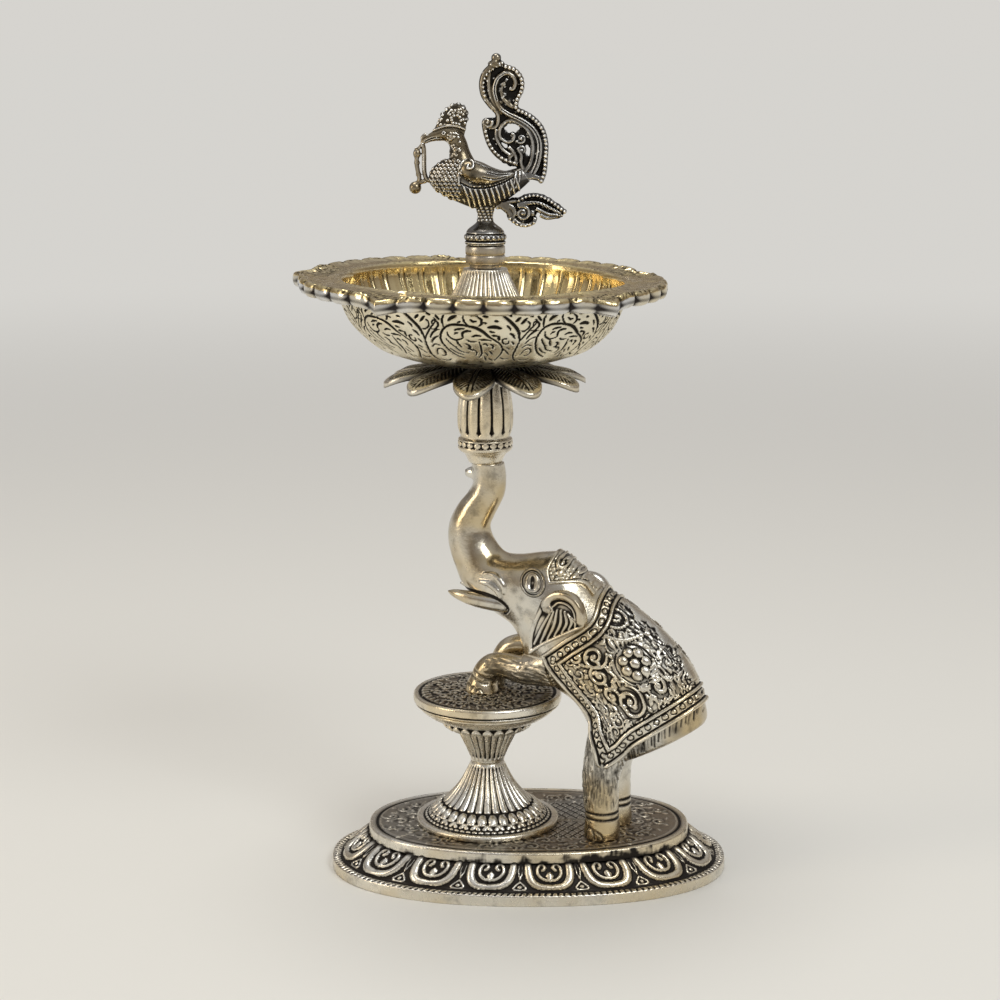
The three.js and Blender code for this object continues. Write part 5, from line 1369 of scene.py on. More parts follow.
elephant = Casting([hull_rows, *rear_legs, near_foreleg, far_foreleg, trunk_lip], 0.34, 7, flat_places)
chance = np.random.default_rng(5)
for side in (-1, 1):
    for fold in ([(1.6, 71.8), (4.8, 71.4), (7.2, 69.2), (7.6, 67.2)],
                 [(0.4, 69.6), (3.4, 69.2), (5.6, 67.6), (6.4, 65.8)]):
        elephant.curve(fold, side, 1.8, 0.6, 0.5, 0.35)
    mouth = [(-7.6, 66.6), (-2.5, 66.4), (2.5, 66.0), (6.6, 64.6), (8.4, 62.6), (7.2, 60.8)]
    elephant.curve(mouth, side, 0.9, -0.5, 0.2)
    # Painted shade and dark reflection, with some patina, in soft patches on the legs, the rump under the
    # cloth, the head and the trunk.
    for u, w, radius, strength in (
            (37.8, 16.9, 2.4, 0.5), (39.8, 19.6, 3.2, 0.5), (39.4, 14.6, 2.2, 0.35), (56, 33, 5.2, 0.4),
            (47, 27.5, 4.6, 0.45), (1.5, 62.5, 3.2, 0.4), (10.6, 68.2, 2.6, 0.35), (12.8, 66.2, 2.4, 0.3),
            (9.5, 44.2, 2.6, 0.45), (-3.0, 88.0, 2.0, 0.3), (14.0, 46.6, 2.6, 0.5), (34.6, 24.5, 2.0, 0.35)):
        elephant.painted_shade_patch(u, w, side, radius, strength)
    for level in (5.9, 7.6):
        ring = []
        for a in np.linspace(0, 2 * math.pi, 150):
            place = (REAR_FOOT + CLEAR * math.cos(a), side * (REAR_STANCE + 12 * math.sin(a)),
                     level + 0.25 * math.cos(a))
            ring += elephant.hits(place, (REAR_FOOT, side * REAR_STANCE, level))
        elephant.line(ring, 0.6, -0.36, 0, 0.8)
    for nail in (-60, -15, 30, 75):
        arc = []
        for k in np.linspace(0, math.pi, 22):
            a = math.pi - math.radians(side * (nail + 20 * math.cos(k)))
            level = 0.5 + 3.0 * math.sin(k)
            place = (REAR_FOOT + CLEAR * math.cos(a), side * REAR_STANCE - CLEAR * math.sin(a), level)
            arc += elephant.hits(place, (REAR_FOOT, side * REAR_STANCE, level))
        elephant.line(arc, 0.5, -0.3, 0.2, 0.7)
    for _ in range(420):
        u, w = chance.uniform(29.5, 43), chance.uniform(8.8, 27)
        long = chance.uniform(1.0, 3.0)
        end = (u + chance.uniform(-0.3, 0.3), w + long)
        elephant.stroke([(u, w), end], side, 0.45, -chance.uniform(0.12, 0.24), 0.8, 0.75)
    for u in np.arange(43, 63, 0.95):
        u += chance.uniform(-0.3, 0.3)
        w = 22.6 + (u - 43) * 0.78 + chance.uniform(-0.8, 0.8)
        tip = (u + chance.uniform(-0.1, 0.7), w + chance.uniform(3.0, 7.5))
        elephant.stroke([(u, w), tip], side, 0.6, -chance.uniform(0.16, 0.34), 0.6, 0.8)
    for _ in range(130):
        u, w = chance.uniform(1, 22), chance.uniform(41, 48)
        elephant.stroke([(u, w), (u + chance.uniform(1.5, 3.5), w - 0.3)], side, 0.45, -0.2, 0.8, 0.75)
for wrinkle in (
        [(-1.9, 6.4), (0.0, 5.2), (2.0, 4.3), (3.4, 4.0)], [(-3.6, 5.4), (-1.6, 4.2), (0.4, 3.2), (2.2, 2.8)],
        [(-4.4, 1.9), (-3.4, 2.6), (-2.4, 1.6)], [(-2.6, 1.2), (-1.6, 2.0), (-0.6, 1.0)],
        [(-0.8, 0.9), (0.3, 1.6), (1.2, 0.7)]):
    elephant.curve([(u, disc_rise + w) for u, w in wrinkle], -1, 0.55, -0.3, 0.4, 0.6)
body = elephant.piece("elephant_skin", from_elephant)
elephant_silver = plated_metal(
    "elephant_silver", (0.70, 0.675, 0.61), (0.56, 0.45, 0.27), (0.03, 0.026, 0.022), 0.12, 0.24, 0.45)
finish(body, elephant_silver, "root", "silver_plate", "elephant_body")

for side, name in ((-1, "near"), (1, "far")):
    tusk_rows = limb_rows([
        (9.4, side * 4.4, 62.8, 2.1), (6.4, side * 5.6, 63.2, 2.35), (2.2, side * 6.1, 63.7, 2.3),
        (-2.4, side * 6.2, 64.3, 2.0), (-6.2, side * 5.9, 65.0, 1.45), (-8.4, side * 5.5, 65.4, 0.85),
        (-9.7, side * 5.2, 65.6, 0.2)], 48, 0.3)
    tusk = skin("elephant_tusk_" + name, from_elephant(tusk_rows))
    finish(tusk, elephant_silver, "root", "silver_plate", "elephant_body")


# Eyes, ears, head cloth and saddle cloth of the elephant
# They are cast in one with it and chased: lidded eyes in two rings, ribbed ears with a rolled rim, and a
# cloth with a border of rings between cords, round scrolls and a flower, all on a blackened ground.
def sheet(name, top, under, height, recess_gain, blur):
    """A closed thin body between two grids of points in mm. Height lifts the top along its normals."""
    rows, columns, _ = top.shape
    normal = np.cross(np.gradient(top, axis=1), np.gradient(top, axis=0))
    normal /= np.maximum(np.linalg.norm(normal, axis=2, keepdims=True), 1e-9)
    if (normal * (top - under)).sum() < 0:
        normal = -normal
    low = sunk(height, PATCH, recess_gain, blur)
    points = np.concatenate([(top + normal * height[:, :, None]).reshape(-1, 3), under.reshape(-1, 3)])
    r, c = [part.ravel() for part in np.indices((rows - 1, columns - 1))]
    first = r * columns + c
    upper = np.stack([first, first + 1, first + columns + 1, first + columns], 1)
    index = np.arange(rows * columns).reshape(rows, columns)
    rim = np.concatenate([index[0], index[1:, -1], index[-1, -2::-1], index[-2:0:-1, 0]])
    ahead, below = np.roll(rim, -1), rows * columns
    wall = np.stack([rim, rim + below, ahead + below, ahead], 1)
    quads = np.concatenate([upper, upper[:, ::-1] + below, wall])
    facing = np.cross(top[0, 1] - top[0, 0], top[1, 0] - top[0, 0])
    if (facing * (top[0, 0] - under[0, 0])).sum() < 0:
        quads = quads[:, ::-1]
    shade = np.concatenate([np.clip(low, 0, 1).ravel(), np.zeros(rows * columns)])
    return mesh_piece(name, points, quads.ravel(), np.full(len(quads), 4), shade)


for side, name in ((-1, "near"), (1, "far")):
    eye_share = np.r_[np.linspace(0.03, 1, 40), 1.04, 1.0]
    eye_turn = turns(140)
    eye_u = 15.8 + 3.4 * eye_share[:, None] * np.cos(eye_turn)
    eye_w = 70.6 + 3.6 * eye_share[:, None] * np.sin(eye_turn) - 0.5 * eye_share[:, None] * np.cos(eye_turn)
    eye_rows = np.empty((len(eye_share), 140, 3))
    for j, k in np.ndindex(eye_rows.shape[:2]):
        u, w = eye_u[j, k], eye_w[j, k]
        eye_rows[j, k] = elephant.towards((u, side * FAR_OUT, w), (u, 0, w))
    eye_rows[-2:, :, 1] -= side * np.array([0.3, 1.2])[:, None]
    lid = eye_share[:, None] * (1 + 0.16 * np.cos(2 * eye_turn)[None])
    eye_height = 0.25 + sum(rise * np.exp(-((share - middle) / spread) ** 2) for rise, share, middle,
                            spread in (
        (0.5, eye_share[:, None], 0.9, 0.055), (0.45, lid, 0.5, 0.16), (-0.3, lid, 0, 0.2),
        (-0.5, eye_share[:, None], 0.77, 0.06)))
    eye_height[-2:] = 0
    pupil = eye_share[:, None] * (1 + 0.5 * np.cos(2 * eye_turn)[None])
    eye_grime = (1.1 * np.exp(-(pupil / 0.26) ** 4) + 1.1 * np.exp(-((eye_share[:, None] - 0.76) / 0.07) ** 2)
                 + 0.9 * (eye_share[:, None] > 0.985) - 0.2)
    eye = skin("elephant_eye_" + name, from_elephant(eye_rows), eye_height, False, 4.0, 3, eye_grime)
    finish(eye, elephant_silver, "root", "silver_plate", "elephant_body")

MIRROR = np.array([1, -1, 1])
EAR_MIDDLE = (22.4, 61.6)
ear_outline = even_path(smooth_path([
    (15.4, 51.0), (19.0, 53.6), (22.8, 55.8), (27.4, 58.2), (31.6, 60.6), (32.2, 63.0), (31.2, 66.2),
    (28.9, 68.8), (25.6, 69.8), (22.2, 69.2), (19.4, 67.2), (17.6, 63.4), (16.2, 59.4), (15.3, 55.0),
    (15.4, 51.0)], 0.1), 0.36)[:-1]
ear_relief = Relief(22, 24, 0.12)
EAR_CORNER = np.array([13.0, 48.0])


def on_ear(points):
    return np.asarray(points, float) - EAR_CORNER


ear_relief.curve(on_ear([
    (20.4, 65.4), (21.4, 67.4), (23.6, 68.6), (26.4, 68.7), (29.0, 67.4), (30.6, 65.0), (30.9, 62.2)]), 2.7,
    1.3)
ear_relief.curve(on_ear([(22.6, 65.3), (24.2, 66.6), (26.6, 66.5), (28.6, 65.0), (29.3, 62.6)]), 0.9, 0.55,
                 0.3)
ear_relief.dome(*on_ear((20.9, 64.6)), 1.5, 1.15)
ear_relief.curve(on_ear([(21.6, 63.4), (22.6, 64.4), (21.8, 65.8)]), 0.6, 0.9, 0.4)
for rib in (
        [(22.0, 63.6), (19.6, 59.6), (17.0, 54.2)], [(22.9, 64.0), (21.2, 59.8), (18.9, 54.9)],
        [(23.9, 64.6), (23.0, 60.4), (20.9, 56.0)], [(25.0, 64.7), (24.9, 61.0), (23.0, 57.2)],
        [(26.1, 64.4), (26.7, 61.4), (25.2, 58.4)], [(27.1, 63.9), (28.2, 61.8), (27.3, 59.6)],
        [(28.1, 63.0), (29.2, 61.8), (29.2, 60.5)]):
    ear_relief.curve(on_ear(rib), 1.0, 0.6, 0.35)
ear_relief.curve(on_ear([(31.6, 61.2), (27.0, 58.7), (22.4, 56.2), (18.4, 53.8), (15.6, 51.6)]), 1.2, 0.75)
ear_relief.curve(on_ear([(15.9, 52.4), (16.0, 56.5), (17.2, 60.4), (18.8, 63.6), (19.8, 65.4)]), 1.3, 0.6)
for side, name in ((-1, "near"), (1, "far")):
    share = np.r_[np.linspace(0.02, 0.985, 90), 1.0, 1.0, 0.985, 0.3]
    flat = np.asarray(EAR_MIDDLE) + (ear_outline[None] - EAR_MIDDLE) * share[:, None, None]
    level = np.full(len(share), 10.7)
    level[-4:] = (10.4, 9.2, 8.4, 8.4)
    swell = 0.7 * np.clip(1 - share, 0, 1)
    swell[-4:] = 0
    out = (level + swell)[:, None] + (flat[..., 0] - 16) * math.tan(math.radians(12))
    ear_rows = np.stack([flat[..., 0], side * out, flat[..., 1]], 2)
    on_relief = on_ear(flat)
    ear_height = ear_relief.at(on_relief[..., 0], on_relief[..., 1])
    ear_height[-5:] = 0
    ear_grime = np.zeros(ear_height.shape)
    ear_grime[-5:] = -2
    ear = skin("elephant_ear_" + name, from_elephant(ear_rows), ear_height, False, 2.4, 4, ear_grime)
    finish(ear, elephant_silver, "root", "silver_plate", "elephant_body")


def nearest_to(line, points):
    """For each point, the number of the line's place that lies nearest."""
    return np.array([np.argmin(((line - point) ** 2).sum(1)) for point in np.asarray(points, float)])


def hull_places_of(points):
    """Section places and angles of points in the side view."""
    places, angles = np.linspace(6, 20, 701), np.linspace(0, math.pi, 301)
    side_view = section_rows(BODY_SECTIONS, places[:, None], angles[None])[..., [0, 2]].reshape(-1, 2)
    nearest = nearest_to(side_view, points)
    return np.stack([places[nearest // len(angles)], angles[nearest % len(angles)]], 1)


def draped(front, lower, rear, rows, columns, thickness):
    """Grid of a cloth's near half over the elephant, from the spine down, and its corners in the side view.
    Each edge is a list of side view points. It lies a thickness above the skin."""
    def edge(points, count):
        path = even_path(smooth_path(points, 0.1), 0.05)
        found = hull_places_of(path[np.linspace(0, len(path) - 1, count).round().astype(int)])
        for _ in range(12):
            found[1:-1] = (found[:-2] + 2 * found[1:-1] + found[2:]) / 4
        return found

    front_edge, lower_edge, rear_edge = edge(front, columns), edge(lower, rows), edge(rear[::-1], columns)
    front_edge[0, 1] = rear_edge[0, 1] = 0
    spine = np.stack([np.linspace(front_edge[0, 0], rear_edge[0, 0], rows), np.zeros(rows)], 1)
    a, b = np.linspace(0, 1, rows)[:, None, None], np.linspace(0, 1, columns)[None, :, None]
    corners = ((1 - a) * (1 - b) * spine[0] + (1 - a) * b * lower_edge[0]
               + a * (1 - b) * spine[-1] + a * b * lower_edge[-1])
    patch = ((1 - a) * front_edge[None] + a * rear_edge[None]
             + (1 - b) * spine[:, None] + b * lower_edge[:, None] - corners)
    patch = averaged(patch[..., 0], 2, PATCH), averaged(patch[..., 1], 2, PATCH)
    patch[1][:, 0] = 0
    base = section_rows(BODY_SECTIONS, *patch) * MIRROR
    proud = section_rows(BODY_SECTIONS, *patch, 7.0) * MIRROR
    rise = np.zeros(base.shape[:2])
    for j, k in np.ndindex(rise.shape):
        start = Vector(proud[j, k])
        hit = elephant.towards(start, base[j, k])
        if hit is not None:
            rise[j, k] = (start - Vector(base[j, k])).length - (hit - start).length
    rise = np.clip(rise, 0, 6)
    for _ in range(2):
        rise = np.maximum(averaged(rise, 6, PATCH), rise)
    rise = averaged(averaged(rise, 5, PATCH), 3, PATCH)
    out = (proud - base) / np.linalg.norm(proud - base, axis=2, keepdims=True)
    return base + out * (rise + thickness)[..., None], base + out * (rise - 0.5)[..., None]


def cast_cloth(name, top, under, height, recess_gain):
    """Joins a cloth's near half and its mirror image at the spine, as one piece on the elephant."""
    grids = [np.concatenate([near[:, :0:-1] * MIRROR, near], 1) for near in (top, under)]
    height = np.concatenate([height[:, :0:-1], height], 1)
    cloth = sheet(name, from_elephant(grids[0]), from_elephant(grids[1]), height, recess_gain, 3)
    finish(cloth, chased_silver, "root", "silver_plate", "elephant_body")


def from_edge(points, edge):
    """Distance of each grid point to a line, and the length along the line to there."""
    flat = points.reshape(-1, points.shape[-1])
    length = lengths(edge)
    away, place = np.full(len(flat), 1e9), np.zeros(len(flat))
    for corner, reached in zip(edge, length):
        here = np.linalg.norm(flat - corner, axis=1)
        closer = here < away
        away[closer], place[closer] = here[closer], reached
    return away.reshape(points.shape[:-1]), place.reshape(points.shape[:-1])


spine_line = even_path(smooth_path([
    (30, 70.6), (37.3, 65.6), (45.2, 60.2), (52, 54.2), (57.4, 47.5), (61, 40.6)], 0.1), 0.2)
BACK_HALF_WIDTH, BACK_HALF_HEIGHT = 12.8, 12.5


def unrolled(points):
    """Side view points laid flat: their distance to the spine becomes the way over the round back."""
    points = np.atleast_2d(np.asarray(points, float))
    flat = points.reshape(-1, 2)
    nearest = nearest_to(spine_line, flat)
    away = flat - spine_line[nearest]
    down = np.maximum(np.linalg.norm(away, axis=1, keepdims=True), 1e-6)
    round_back = BACK_HALF_WIDTH * np.arccos(np.clip(1 - down / BACK_HALF_HEIGHT, -1, 1))
    over = round_back + np.maximum(down - 2 * BACK_HALF_HEIGHT, 0)
    return (spine_line[nearest] + away / down * over).reshape(points.shape)


CLOTH_CORNER = np.array([4.0, 4.0])
cloth_front = [(33.2, 68.6), (32.8, 66.4), (31.8, 61.2), (25.0, 56.1), (19.0, 51.5)]
cloth_lower = [
    (19.0, 51.5), (20.8, 47.8), (25.4, 42.3), (28.8, 38.6), (32.4, 34.2), (36.0, 29.2), (38.4, 25.2),
    (39.9, 21.8)]
cloth_rear = [(39.9, 21.8), (44.8, 27.2), (50.6, 31.5), (57.2, 35.9), (61.4, 38.6)]
cloth_top, cloth_under = draped(cloth_front, cloth_lower, cloth_rear, 250, 220, 0.65)
cloth_edge = np.vstack([cloth_top[0], cloth_top[1:, -1], cloth_top[-1, -2::-1]])
cloth_relief = Relief(66, 72, 0.12)


def on_cloth(points):
    laid = unrolled(points) - CLOTH_CORNER
    return laid[0] if np.ndim(points) == 1 else laid


def cloth_leaf(u, w, length, angle, width=1.5):
    cloth_relief.leaf(*on_cloth((u, w)), length, width, math.radians(angle), 0.62)


vines(cloth_relief, lambda x, y: True, 4.7, 23, 0.6, 0.45)
motifs = ((38.6, 62.6, 4.6), (34.2, 52.6, 3.9), (36.0, 47.3, 3.2), (45.2, 51.2, 5.6), (55.0, 51.0, 3.6),
          (44.4, 41.0, 4.4), (51.5, 45.4, 3.0), (39.4, 42.2, 2.7), (29.4, 52.0, 2.4), (39.6, 56.4, 2.6))
motif_rows, motif_columns = np.indices(cloth_relief.level.shape)
motif_place = np.stack([motif_columns, motif_rows], 2) * cloth_relief.pitch + CLOTH_CORNER
for u, w, reach in motifs:
    laid = unrolled((u, w))[0]
    cloth_relief.level[np.hypot(motif_place[..., 0] - laid[0], motif_place[..., 1] - laid[1]) < reach] = 0
for u, w, radius, winds, start, hand in (
        (38.6, 62.6, 4.1, 1.7, 200, 1), (34.2, 52.6, 3.4, 1.7, 20, -1), (36.0, 47.3, 2.7, 1.5, 80, 1),
        (55.0, 51.0, 3.1, 1.6, 250, 1), (44.4, 41.0, 3.8, 1.8, 100, -1), (51.5, 45.4, 2.4, 1.4, 200, -1),
        (39.4, 42.2, 2.2, 1.3, 0, 1), (29.4, 52.0, 1.9, 1.3, 140, 1)):
    cloth_relief.spiral(*on_cloth((u, w)), radius, winds, math.radians(start), hand, 1.05, 0.72)
    cloth_relief.dome(*on_cloth((u, w)), 0.75, 0.75)
    for k in range(7):
        angle = start + k * 52
        tilt = math.radians(angle)
        root = on_cloth((u, w)) + (radius + 0.2) * np.array([math.cos(tilt), math.sin(tilt)])
        cloth_relief.leaf(*root, 1.9, 1.0, math.radians(angle + hand * 50), 0.62)
flower = on_cloth((45.2, 51.2))
cloth_relief.ring(*flower, 5.0, 0.7, -0.2)
for k in range(7):
    tilt = math.radians(20 + k * 360 / 7)
    cloth_relief.dome(*(flower + 2.95 * np.array([math.cos(tilt), math.sin(tilt)])), 1.3, 0.95)
cloth_relief.dome(*flower, 1.35, 0.85)
for k in range(4):
    cloth_leaf(40.0 + 0.8 * k, 54.6 + 0.5 * k, 3.6, 128 - 14 * k, 1.2)
    cloth_leaf(49.2, 46.4 + k * 0.9, 3.2, 20 + 14 * k, 1.1)
    cloth_leaf(46.5, 44.2 + k * 0.4, 3.0, 40 - 20 * k, 1.1)
for width, rise, taper, stem_line in (
        (1.15, 0.7, 0.0, [(34.6, 67.0), (33.8, 63.4), (35.2, 59.4), (39.0, 57.4), (43.5, 57.4),
                          (47.6, 58.4)]),
        (1.0, 0.65, 0.3, [(49.5, 52.0), (51.4, 48.6), (54.6, 47.0), (58.4, 48.2)]),
        (0.9, 0.6, 0.3, [(37.4, 50.0), (40.4, 47.4), (41.6, 45.2)])):
    cloth_relief.curve(on_cloth(stem_line), width, rise, taper)

near_flat = cloth_top[..., [0, 2]]
edge_away, edge_place = from_edge(cloth_top, cloth_edge)
in_flat = unrolled(near_flat.reshape(-1, 2)).reshape(near_flat.shape) - CLOTH_CORNER
cloth_height = cloth_relief.at(in_flat[..., 0], in_flat[..., 1]) - 0.16
plain = np.clip((2.6 + 1.2 * np.sin(near_flat[..., 0] * 0.9) - np.abs(cloth_top[..., 1])) / 0.7, 0, 1)
cloth_height = cloth_height * (1 - plain) + 0.28 * plain


def cord(away, middle, width, rise):
    return rise * np.sqrt(np.clip(1 - ((away - middle) / (width / 2)) ** 2, 0, 1))


BORDER = 5.2
RING_PITCH = 2.7
ring_place = (edge_place % RING_PITCH) - RING_PITCH / 2
ring_away = np.hypot(ring_place, edge_away - 2.75)
border = cord(edge_away, 0.55, 1.1, 0.62) + cord(edge_away, 4.55, 0.95, 0.6) + 0.05
for rise, away, middle, spread in (
        (-0.36, ring_away, 0.8, 0.2), (0.2, ring_away, 0, 0.45), (-0.3, edge_away, 1.4, 0.22),
        (-0.34, edge_away, 3.8, 0.22), (-0.4, edge_away, 5.3, 0.25)):
    border = border + rise * np.exp(-((away - middle) / spread) ** 2)
in_border = np.clip((BORDER + 0.3 - edge_away) / 0.3, 0, 1)
cloth_height = cloth_height * (1 - in_border) + border * in_border
chased_silver = plated_metal(
    "chased_silver", (0.80, 0.76, 0.66), (0.75, 0.63, 0.42), (0.028, 0.024, 0.02), 0.18, 0.3, 0.35)
cast_cloth("saddle_cloth", cloth_top, cloth_under, cloth_height, 2.2)

head_front = [(19.8, 77.6), (18.9, 74.0), (20.0, 70.4)]
head_lower = [(20.0, 70.4), (24.4, 70.6), (28.4, 70.2), (31.8, 67.2)]
head_rear = [(31.8, 67.2), (32.4, 68.2), (33.0, 68.9)]
head_top, head_under = draped(head_front, head_lower, head_rear, 150, 110, 0.4)
head_relief = Relief(20, 16, 0.12)
HEAD_CORNER = np.array([16.0, 64.0])
for j in range(12):
    for i in range(17):
        x, y = (i + 0.5 * (j % 2)) * 1.25, j * 1.3
        head_relief.dome(x + chance.uniform(-0.2, 0.2), y + chance.uniform(-0.2, 0.2), 0.5, 0.3)
for u, w, radius in ((22.9, 73.4, 1.0), (26.4, 72.2, 0.9), (28.6, 70.8, 0.85), (20.9, 72.4, 0.7)):
    head_relief.dome(u - HEAD_CORNER[0], w - HEAD_CORNER[1], radius, 0.7)
head_relief.spiral(23.2 - HEAD_CORNER[0], 75.8 - HEAD_CORNER[1], 2.1, 1.5, 0.5, 1, 0.8, 0.65)
head_relief.spiral(27.4 - HEAD_CORNER[0], 73.9 - HEAD_CORNER[1], 1.6, 1.3, 2.0, -1, 0.7, 0.6)
head_flat = head_top[..., [0, 2]] - HEAD_CORNER
head_height = head_relief.at(head_flat[..., 0], head_flat[..., 1])
head_edge = np.vstack([even_path(smooth_path(edge, 0.1), 0.2) for edge in (head_front, head_lower)])
head_away, _ = from_edge(head_top[..., [0, 2]], head_edge)
head_height = np.where(head_away < 1.1, cord(head_away, 0.5, 1.0, 0.42), head_height)
head_height *= 1 - 0.65 * np.exp(-(head_top[..., 1] / 2.2) ** 2)
cast_cloth("head_cloth", head_top, head_under, head_height, 2.4)


# Peacock finial
# One dark casting that screws down on the stud: a domed foot with a band of beads and a thin post, a breast
# of scales, smooth wings that open from a scroll, curved ribs on the flanks and a grained crest.
FINIAL_RADIUS = 5.5
finial_low, _ = node_box("peacock_body")
bird_level = finial_low[2] + 12
FINIAL_BORE_TOP = 4.8
FOOT_BEADS = 22
BIRD_SECTIONS = [
    (-15.2, 5, -15, 6.4, 1), (-14.2, 3.4, -13.9, 8.6, 2.8), (-11.6, 1.4, -11, 10.4, 4),
    (-7.4, -0.7, -6.6, 11.4, 4.6), (-2.6, -2.4, -2.2, 9.9, 4.6), (2, -2.4, 1.6, 8, 4.2),
    (6.2, 0.1, 5.2, 7.6, 3.2), (9.6, 2.7, 7.8, 8.2, 2.3), (12, 4.9, 9.4, 8.6, 1.6),
]
CREST_SECTIONS = [
    (-14.6, 17.0, -5.6, 16.6, 1.3), (-13.4, 19.0, -5.0, 19.6, 1.5), (-11.8, 21.8, -4.7, 21.6, 1.4),
    (-10.2, 23.6, -4.9, 23.4, 1.2), (-8.9, 24.8, -6.0, 24.8, 0.9), (-7.8, 25.3, -7.0, 25.3, 0.4),
]


def from_bird(points):
    """Frame places, in mm, of points given along the bird, across it and above its post."""
    return np.asarray(points, float) + np.array([stem_axis[0], stem_axis[1], bird_level])


def bird_body(table, count, columns):
    places = np.linspace(0, len(table) - 1, count)
    return section_rows(table, places[:, None], turns(columns)[None])


finial_profile = smooth_path([
    (FINIAL_BORE_TOP / 2, -12), (FINIAL_RADIUS - 0.4, -12), (FINIAL_RADIUS, -11.6), (FINIAL_RADIUS, -10.9),
    (FINIAL_RADIUS - 0.1, -9.6), (5.15, -8.7), (4.5, -7.8), (3.3, -6.9), (2.4, -6.1), (1.95, -5.2),
    (1.9, -4.2), (2.2, -3.0), (2.5, -2.0), (2.9, -0.6), (3.3, 0.8),
], 0.25)
finial_rows = turned_rows(finial_profile, 72, (0, 0))
wings = [limb_rows([
    (-6.9, side * 2.9, 8.7, 1.3), (-5.0, side * 3.3, 8.2, 2.5), (-2.0, side * 3.6, 7.0, 2.9),
    (1.2, side * 3.3, 6.3, 2.3), (4.6, side * 2.5, 6.4, 1.2), (7.6, side * 1.7, 6.9, 0.5)], 40, 0.3)
    for side in (-1, 1)]
neck = limb_rows([
    (-5.4, 0, 6.6, 4.2), (-6.2, 0, 9.4, 3.6), (-6.7, 0, 12, 2.8), (-7.2, 0, 14.6, 2.4), (-8.4, 0, 16.6, 2.4),
    (-10.4, 0, 17.4, 2.1), (-12.6, 0, 17.0, 1.6), (-14.6, 0, 16.3, 1.1), (-16.2, 0, 15.4, 0.75),
    (-17.2, 0, 14.7, 0.35)],
    40, 0.3)
tuft_beads = [ball_rows((x, 0, z), (0.75, 0.9, 0.75), 14) for x, z in (
    (-11.3, 22.4), (-10.1, 23.7), (-8.7, 24.7), (-7.1, 24.9), (-5.8, 24.1), (-5.1, 22.8), (-5.1, 21.2))]
beak_curl = limb_rows([(-15.4, 0, 16.9, 0.75), (-16.3, 0, 16.7, 0.65), (-16.8, 0, 15.9, 0.5),
                       (-16.2, 0, 15.3, 0.4)], 16, 0.2)
finial = Casting([
    bird_body(BIRD_SECTIONS, 90, 80), bird_body(CREST_SECTIONS, 60, 48), neck, *wings, finial_rows,
    *tuft_beads, beak_curl,
], 0.17, 3)
bird_x, _, bird_z = finial.points.T
breast = np.clip((-6.6 - bird_x) / 0.8, 0, 1) * (bird_z < 14)
flank = np.clip((3.4 + 0.25 * bird_x - bird_z) / 0.8, 0, 1) * (bird_z > -3)
crest = np.clip((bird_z - 19.2) / 0.5, 0, 1)
finial.shade = 0.42 * np.maximum(np.maximum(breast, flank), crest)
chance = np.random.default_rng(12)
for side in (-1, 1):
    for j in range(12):
        for i in range(10):
            x = -14.8 + i * 1.16 + 0.58 * (j % 2) + chance.uniform(-0.1, 0.1)
            z = -0.6 + j
            if x < -6.9 + 0.05 * z:
                finial.stroke([(x, z), (x + 0.35, z - 0.25)], side, 0.95, 0.36)
    for _ in range(46):
        x, z = chance.uniform(-9.9, -6.8), chance.uniform(10.2, 17.6)
        finial.stroke([(x, z), (x + 0.15, z)], side, 0.7, 0.22, step=0.1)
    for k in range(11):
        share = k / 10
        root = (-5.6 + 13.6 * share, 3.6 + 2.4 * share ** 2)
        tip = (-3.9 + 12.9 * share, -1.6 + 4.2 * share ** 1.7)
        bend = ((root[0] + tip[0]) / 2 + 0.15, (root[1] + tip[1]) / 2 - 0.3)
        finial.curve([root, bend, tip], side, 0.85, 0.5, 0.3)
    wing_scroll = [
        (-6.9, 4.2), (-7.0, 7.0), (-6.2, 9.6), (-4.6, 10.6), (-3.2, 9.9), (-3.4, 8.6), (-4.6, 8.5),
        (-4.5, 9.4)]
    finial.curve(wing_scroll, side, 0.7, 0.5)
    for width, rise, feather in (
            (0.5, -0.25, [(-6.6, 4.6), (-3.6, 3.4), (0.4, 3.4), (4.2, 4.4), (7.4, 6.0)]),
            (0.5, -0.3, [(-3.0, 10.3), (0, 8.9), (3.4, 8.0), (6.6, 7.6)]),
            (0.4, -0.25, [(0.6, 7.6), (3.6, 6.8), (6.6, 6.9)]),
            (0.4, -0.25, [(-0.6, 6.2), (2.6, 5.6), (5.6, 6.2)])):
        finial.curve(feather, side, width, rise)
    # Painted shade and dark reflection on the middle of the wing and low on the breast.
    finial.painted_shade_patch(-3.4, 6.6, side, 3.2, 0.45)
    finial.painted_shade_patch(-9.6, 5.0, side, 3.0, 0.5)
    finial.curve([(6.4, 2.2), (7.6, 4.6), (8.2, 7.4)], side, 0.6, 0.35)
    finial.curve([(8.0, 3.2), (9.0, 5.2), (9.2, 7.4)], side, 0.6, 0.35)
    finial.curve([(-13.6, 18.2), (-10.6, 19.4), (-7.6, 19.4), (-5.2, 18.4)], side, 0.8, 0.45)
    for _ in range(46):
        x, z = chance.uniform(-12.6, -5.2), chance.uniform(19.4, 24.6)
        finial.stroke([(x, z), (x + 0.05, z)], side, 0.85, 0.34, step=0.1)
    for width, rise in ((1.0, 0.3), (0.4, -0.4)):
        finial.stroke([(-11.1, 17.6), (-11.0, 17.6)], side, width, rise, step=0.1)
    finial.curve([(-15.9, 15.4), (-14.0, 16.2), (-12.2, 16.4)], side, 0.4, -0.28)


def on_foot(angle, level):
    """The place on the bird's foot or post at an angle and a level, in a list."""
    return finial.hits((9 * math.cos(angle), 9 * math.sin(angle), level), (0, 0, level))


